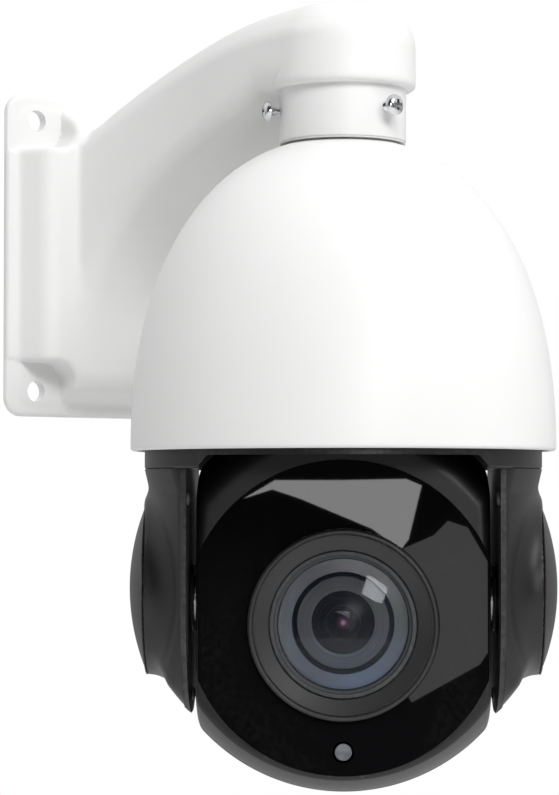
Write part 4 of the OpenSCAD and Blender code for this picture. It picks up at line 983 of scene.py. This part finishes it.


# The two cells are grey rings, lighter round part of the axis as a painted highlight, and each holds a dark,
# domed lens with painted reflections
for name, at, lens_half, body in (("zoom_group", -14.0, 12.4, "zoom_cell"),
                                  ("focus_group", 20.0, 10.4, "focus_cell")):
    half = 17.7
    rings = [(half - 0.2 - i * 0.9 + j, at + k) for i in range(int((half - lens_half - 1.2) / 0.9))
             for j, k in ((0, 0), (-0.6, 0.0), (-0.7, 0.18), (-0.85, 0.18))]
    cell_profile = [(0, at + 5), (lens_half, at + 6), (half, at + 6), (half, at + 0.2)] + rings
    cell_profile += [(lens_half + 0.9, at), (lens_half, at + 0.7), (lens_half - 0.3, at + 0.9)]
    dome_r = 30.0
    dip = math.asin((lens_half - 0.3) / dome_r)
    cell_profile += [(dome_r * math.sin(dip * (1 - i / 16)),
                      at + 0.9 - (dome_r * math.cos(dip * (1 - i / 16)) - dome_r * math.cos(dip)) * 0.8)
                     for i in range(1, 17)]
    cell = shaded(piece(name + "_cell", *turned([(max(r, 0), h) for r, h in cell_profile], 128), on_lens), 25)
    # The ring's grey is its own colour, and its tints round the axis are painted highlight and painted
    # reflection
    cell_grey_and_highlight = painted_highlight_round_axis(name + "_ring", [
        (0, (0.3, 0.31, 0.34)), (0.3, (0.28, 0.32, 0.4)), (0.55, (0.5, 0.52, 0.54)),
        (0.7, (0.46, 0.46, 0.48)),
        (0.9, (0.34, 0.34, 0.36))], 0.45)
    fit(cell, cell_grey_and_highlight, body, "lens_cell", name)
    dark_lens_painted_glint = lens_with_painted_glint(name + "_lens", lens_half)
    cell.data.materials.append(dark_lens_painted_glint)
    for face in cell.data.polygons:
        spot = lens_axis_in @ face.center * 1000
        if math.hypot(spot.x, spot.y) < lens_half - 0.2 and spot.z < at + 3:
            face.material_index = 1

bpy.data.objects.remove(neck_form)
bpy.data.objects.remove(flange_form)
bpy.data.objects.remove(chassis_form)

# ---- Studio ----
# A wide pale floor below, a bright room that is dark only where the glass faces, soft boxes above and
# beside, and three cards that show only in reflections: two as grey shapes in the black glass, one as the
# glint on the lens.
facing = Vector((-math.sin(math.radians(-rest_pan)), -math.cos(math.radians(-rest_pan)), 0))
sideways = Vector((-facing.y, facing.x, 0))
pan_point = Vector((0, pan_y / 1000, 0))


def card(name, corners, far, strength):
    """A glowing card that only shows in reflections, its corners in millimetres from the view's axis."""
    points = [pan_point + facing * far + sideways * (u / 1000) + Vector((0, 0, (w + EYE_Z) / 1000)) for u,
              w in corners]
    mesh = bpy.data.meshes.new(name)
    mesh.from_pydata(points, [], [tuple(range(len(points)))])
    made = bpy.data.objects.new(name, mesh)
    bpy.context.collection.objects.link(made)
    glow = bpy.data.materials.new(name)
    glow.use_nodes = True
    glow.node_tree.nodes.clear()
    lit = node(glow.node_tree, "ShaderNodeEmission", Strength=strength)
    ending = glow.node_tree.nodes.new("ShaderNodeOutputMaterial")
    glow.node_tree.links.new(lit.outputs[0], ending.inputs["Surface"])
    mesh.materials.append(glow)
    for seen in ("visible_camera", "visible_diffuse", "visible_shadow", "visible_transmission"):
        setattr(made, seen, False)


EYE_Z = rim - 15.8
EYE_FAR = 1.0
CARD_FAR = 1.03
card("upper_card", [(-76, -5), (-52, 9), (0, 9), (48, 10), (60, 5), (50, -36), (44, -44), (22, -28),
                    (-33, -5),
                    (-54, 2)], CARD_FAR, 5.0)
card("side_card", [(46, -43), (69, -33), (80, -22), (95, -27), (110, -53), (110, -122), (104, -131),
                   (52, -160),
                   (30, -120), (30, -60)], CARD_FAR, 1.1)

card("lens_card", [(150, 150), (330, 70), (395, 215), (215, 330)], 1.0, 16.0)

floor_mesh = bpy.data.meshes.new("floor")
FLOOR_R = 1.9
FLOOR_Z = -0.46
floor_points = [(FLOOR_R * math.cos(math.radians(a)), FLOOR_R * math.sin(math.radians(a)) + pan_y / 1000,
                 FLOOR_Z)
                for a in range(0, 360, 3)]
floor_mesh.from_pydata(floor_points, [], [tuple(range(len(floor_points)))])
floor = bpy.data.objects.new("floor", floor_mesh)
bpy.context.collection.objects.link(floor)
floor_paint = finish("pale_floor", (0.86, 0.86, 0.86), (0.83, 0.83, 0.83), 0.6, 4.0, 0.01,
                     (0.86, 0.86, 0.86), 0, 200.0)
floor_mesh.materials.append(floor_paint)

world = bpy.data.worlds.new("room")
bpy.context.scene.world = world
world.use_nodes = True
room = world.node_tree
room.nodes.clear()
seen = node(room, "ShaderNodeLightPath").outputs["Is Camera Ray"]
towards = node(room, "ShaderNodeVectorMath", operation="DOT_PRODUCT")
room_direction = node(room, "ShaderNodeTexCoord").outputs["Generated"]
room.links.new(room_direction, towards.inputs[0])
towards.inputs[1].default_value = facing
around = node(room, "ShaderNodeMapRange", Value=towards.outputs["Value"], From_Min=0.8, From_Max=0.25,
              To_Min=0.02,
              To_Max=1.0, interpolation_type="SMOOTHSTEP")
height = node(room, "ShaderNodeSeparateXYZ", Vector=room_direction)
rise = node(room, "ShaderNodeMapRange", Value=height.outputs["Z"], From_Min=-0.5, From_Max=0.6, To_Min=0.2,
            To_Max=0.86, interpolation_type="SMOOTHSTEP")
shade = node(room, "ShaderNodeMath", operation="MULTIPLY")
room.links.new(around.outputs[0], shade.inputs[0])
room.links.new(rise.outputs[0], shade.inputs[1])
plain = node(room, "ShaderNodeBackground", Color=(1, 1, 1, 1), Strength=1.0)
lit = node(room, "ShaderNodeBackground", Color=(1, 1, 1, 1), Strength=shade.outputs[0])
either = node(room, "ShaderNodeMixShader", Fac=seen)
room.links.new(lit.outputs[0], either.inputs[1])
room.links.new(plain.outputs[0], either.inputs[2])
room.links.new(either.outputs[0], room.nodes.new("ShaderNodeOutputWorld").inputs["Surface"])


def soft_box(name, where, size, power, shows=True):
    lamp = bpy.data.lights.new(name, "AREA")
    lamp.shape = "DISK"
    lamp.size = size
    lamp.energy = power
    made = bpy.data.objects.new(name, lamp)
    bpy.context.collection.objects.link(made)
    made.location = where
    made.rotation_euler = (Vector((0, pan_y / 1000, -0.05)) - where).to_track_quat("-Z", "Y").to_euler()
    made.visible_glossy = shows


soft_box("front_right_box", pan_point + facing * 1.0 + sideways * 0.9 + Vector((0, 0, 0.8)), 0.6, 7)
soft_box("front_fill", pan_point + facing * 1.3 + sideways * 0.3 + Vector((0, 0, 1.1)), 0.8, 17, False)

# The view stands square to the glass, just below the dome's rim, and looks a little up and to the left
eye = bpy.data.cameras.new("view")
eye.sensor_width = 36
eye.lens = 116.4
view = bpy.data.objects.new("view", eye)
bpy.context.collection.objects.link(view)
look = -facing
right = look.cross(Vector((0, 0, 1)))
yaw, pitch = math.radians(1.415), math.radians(2.105)
look = look * math.cos(yaw) - right * math.sin(yaw)
look = look * math.cos(pitch) + Vector((0, 0, 1)) * math.sin(pitch)
right = look.cross(Vector((0, 0, 1))).normalized()
up = right.cross(look)
turned_view = Matrix((right, up, -look)).transposed().to_4x4()
turned_view.translation = pan_point + facing * EYE_FAR + Vector((0, 0, EYE_Z / 1000))
view.matrix_world = turned_view
bpy.context.scene.camera = view
bpy.context.scene.view_settings.view_transform = "Standard"
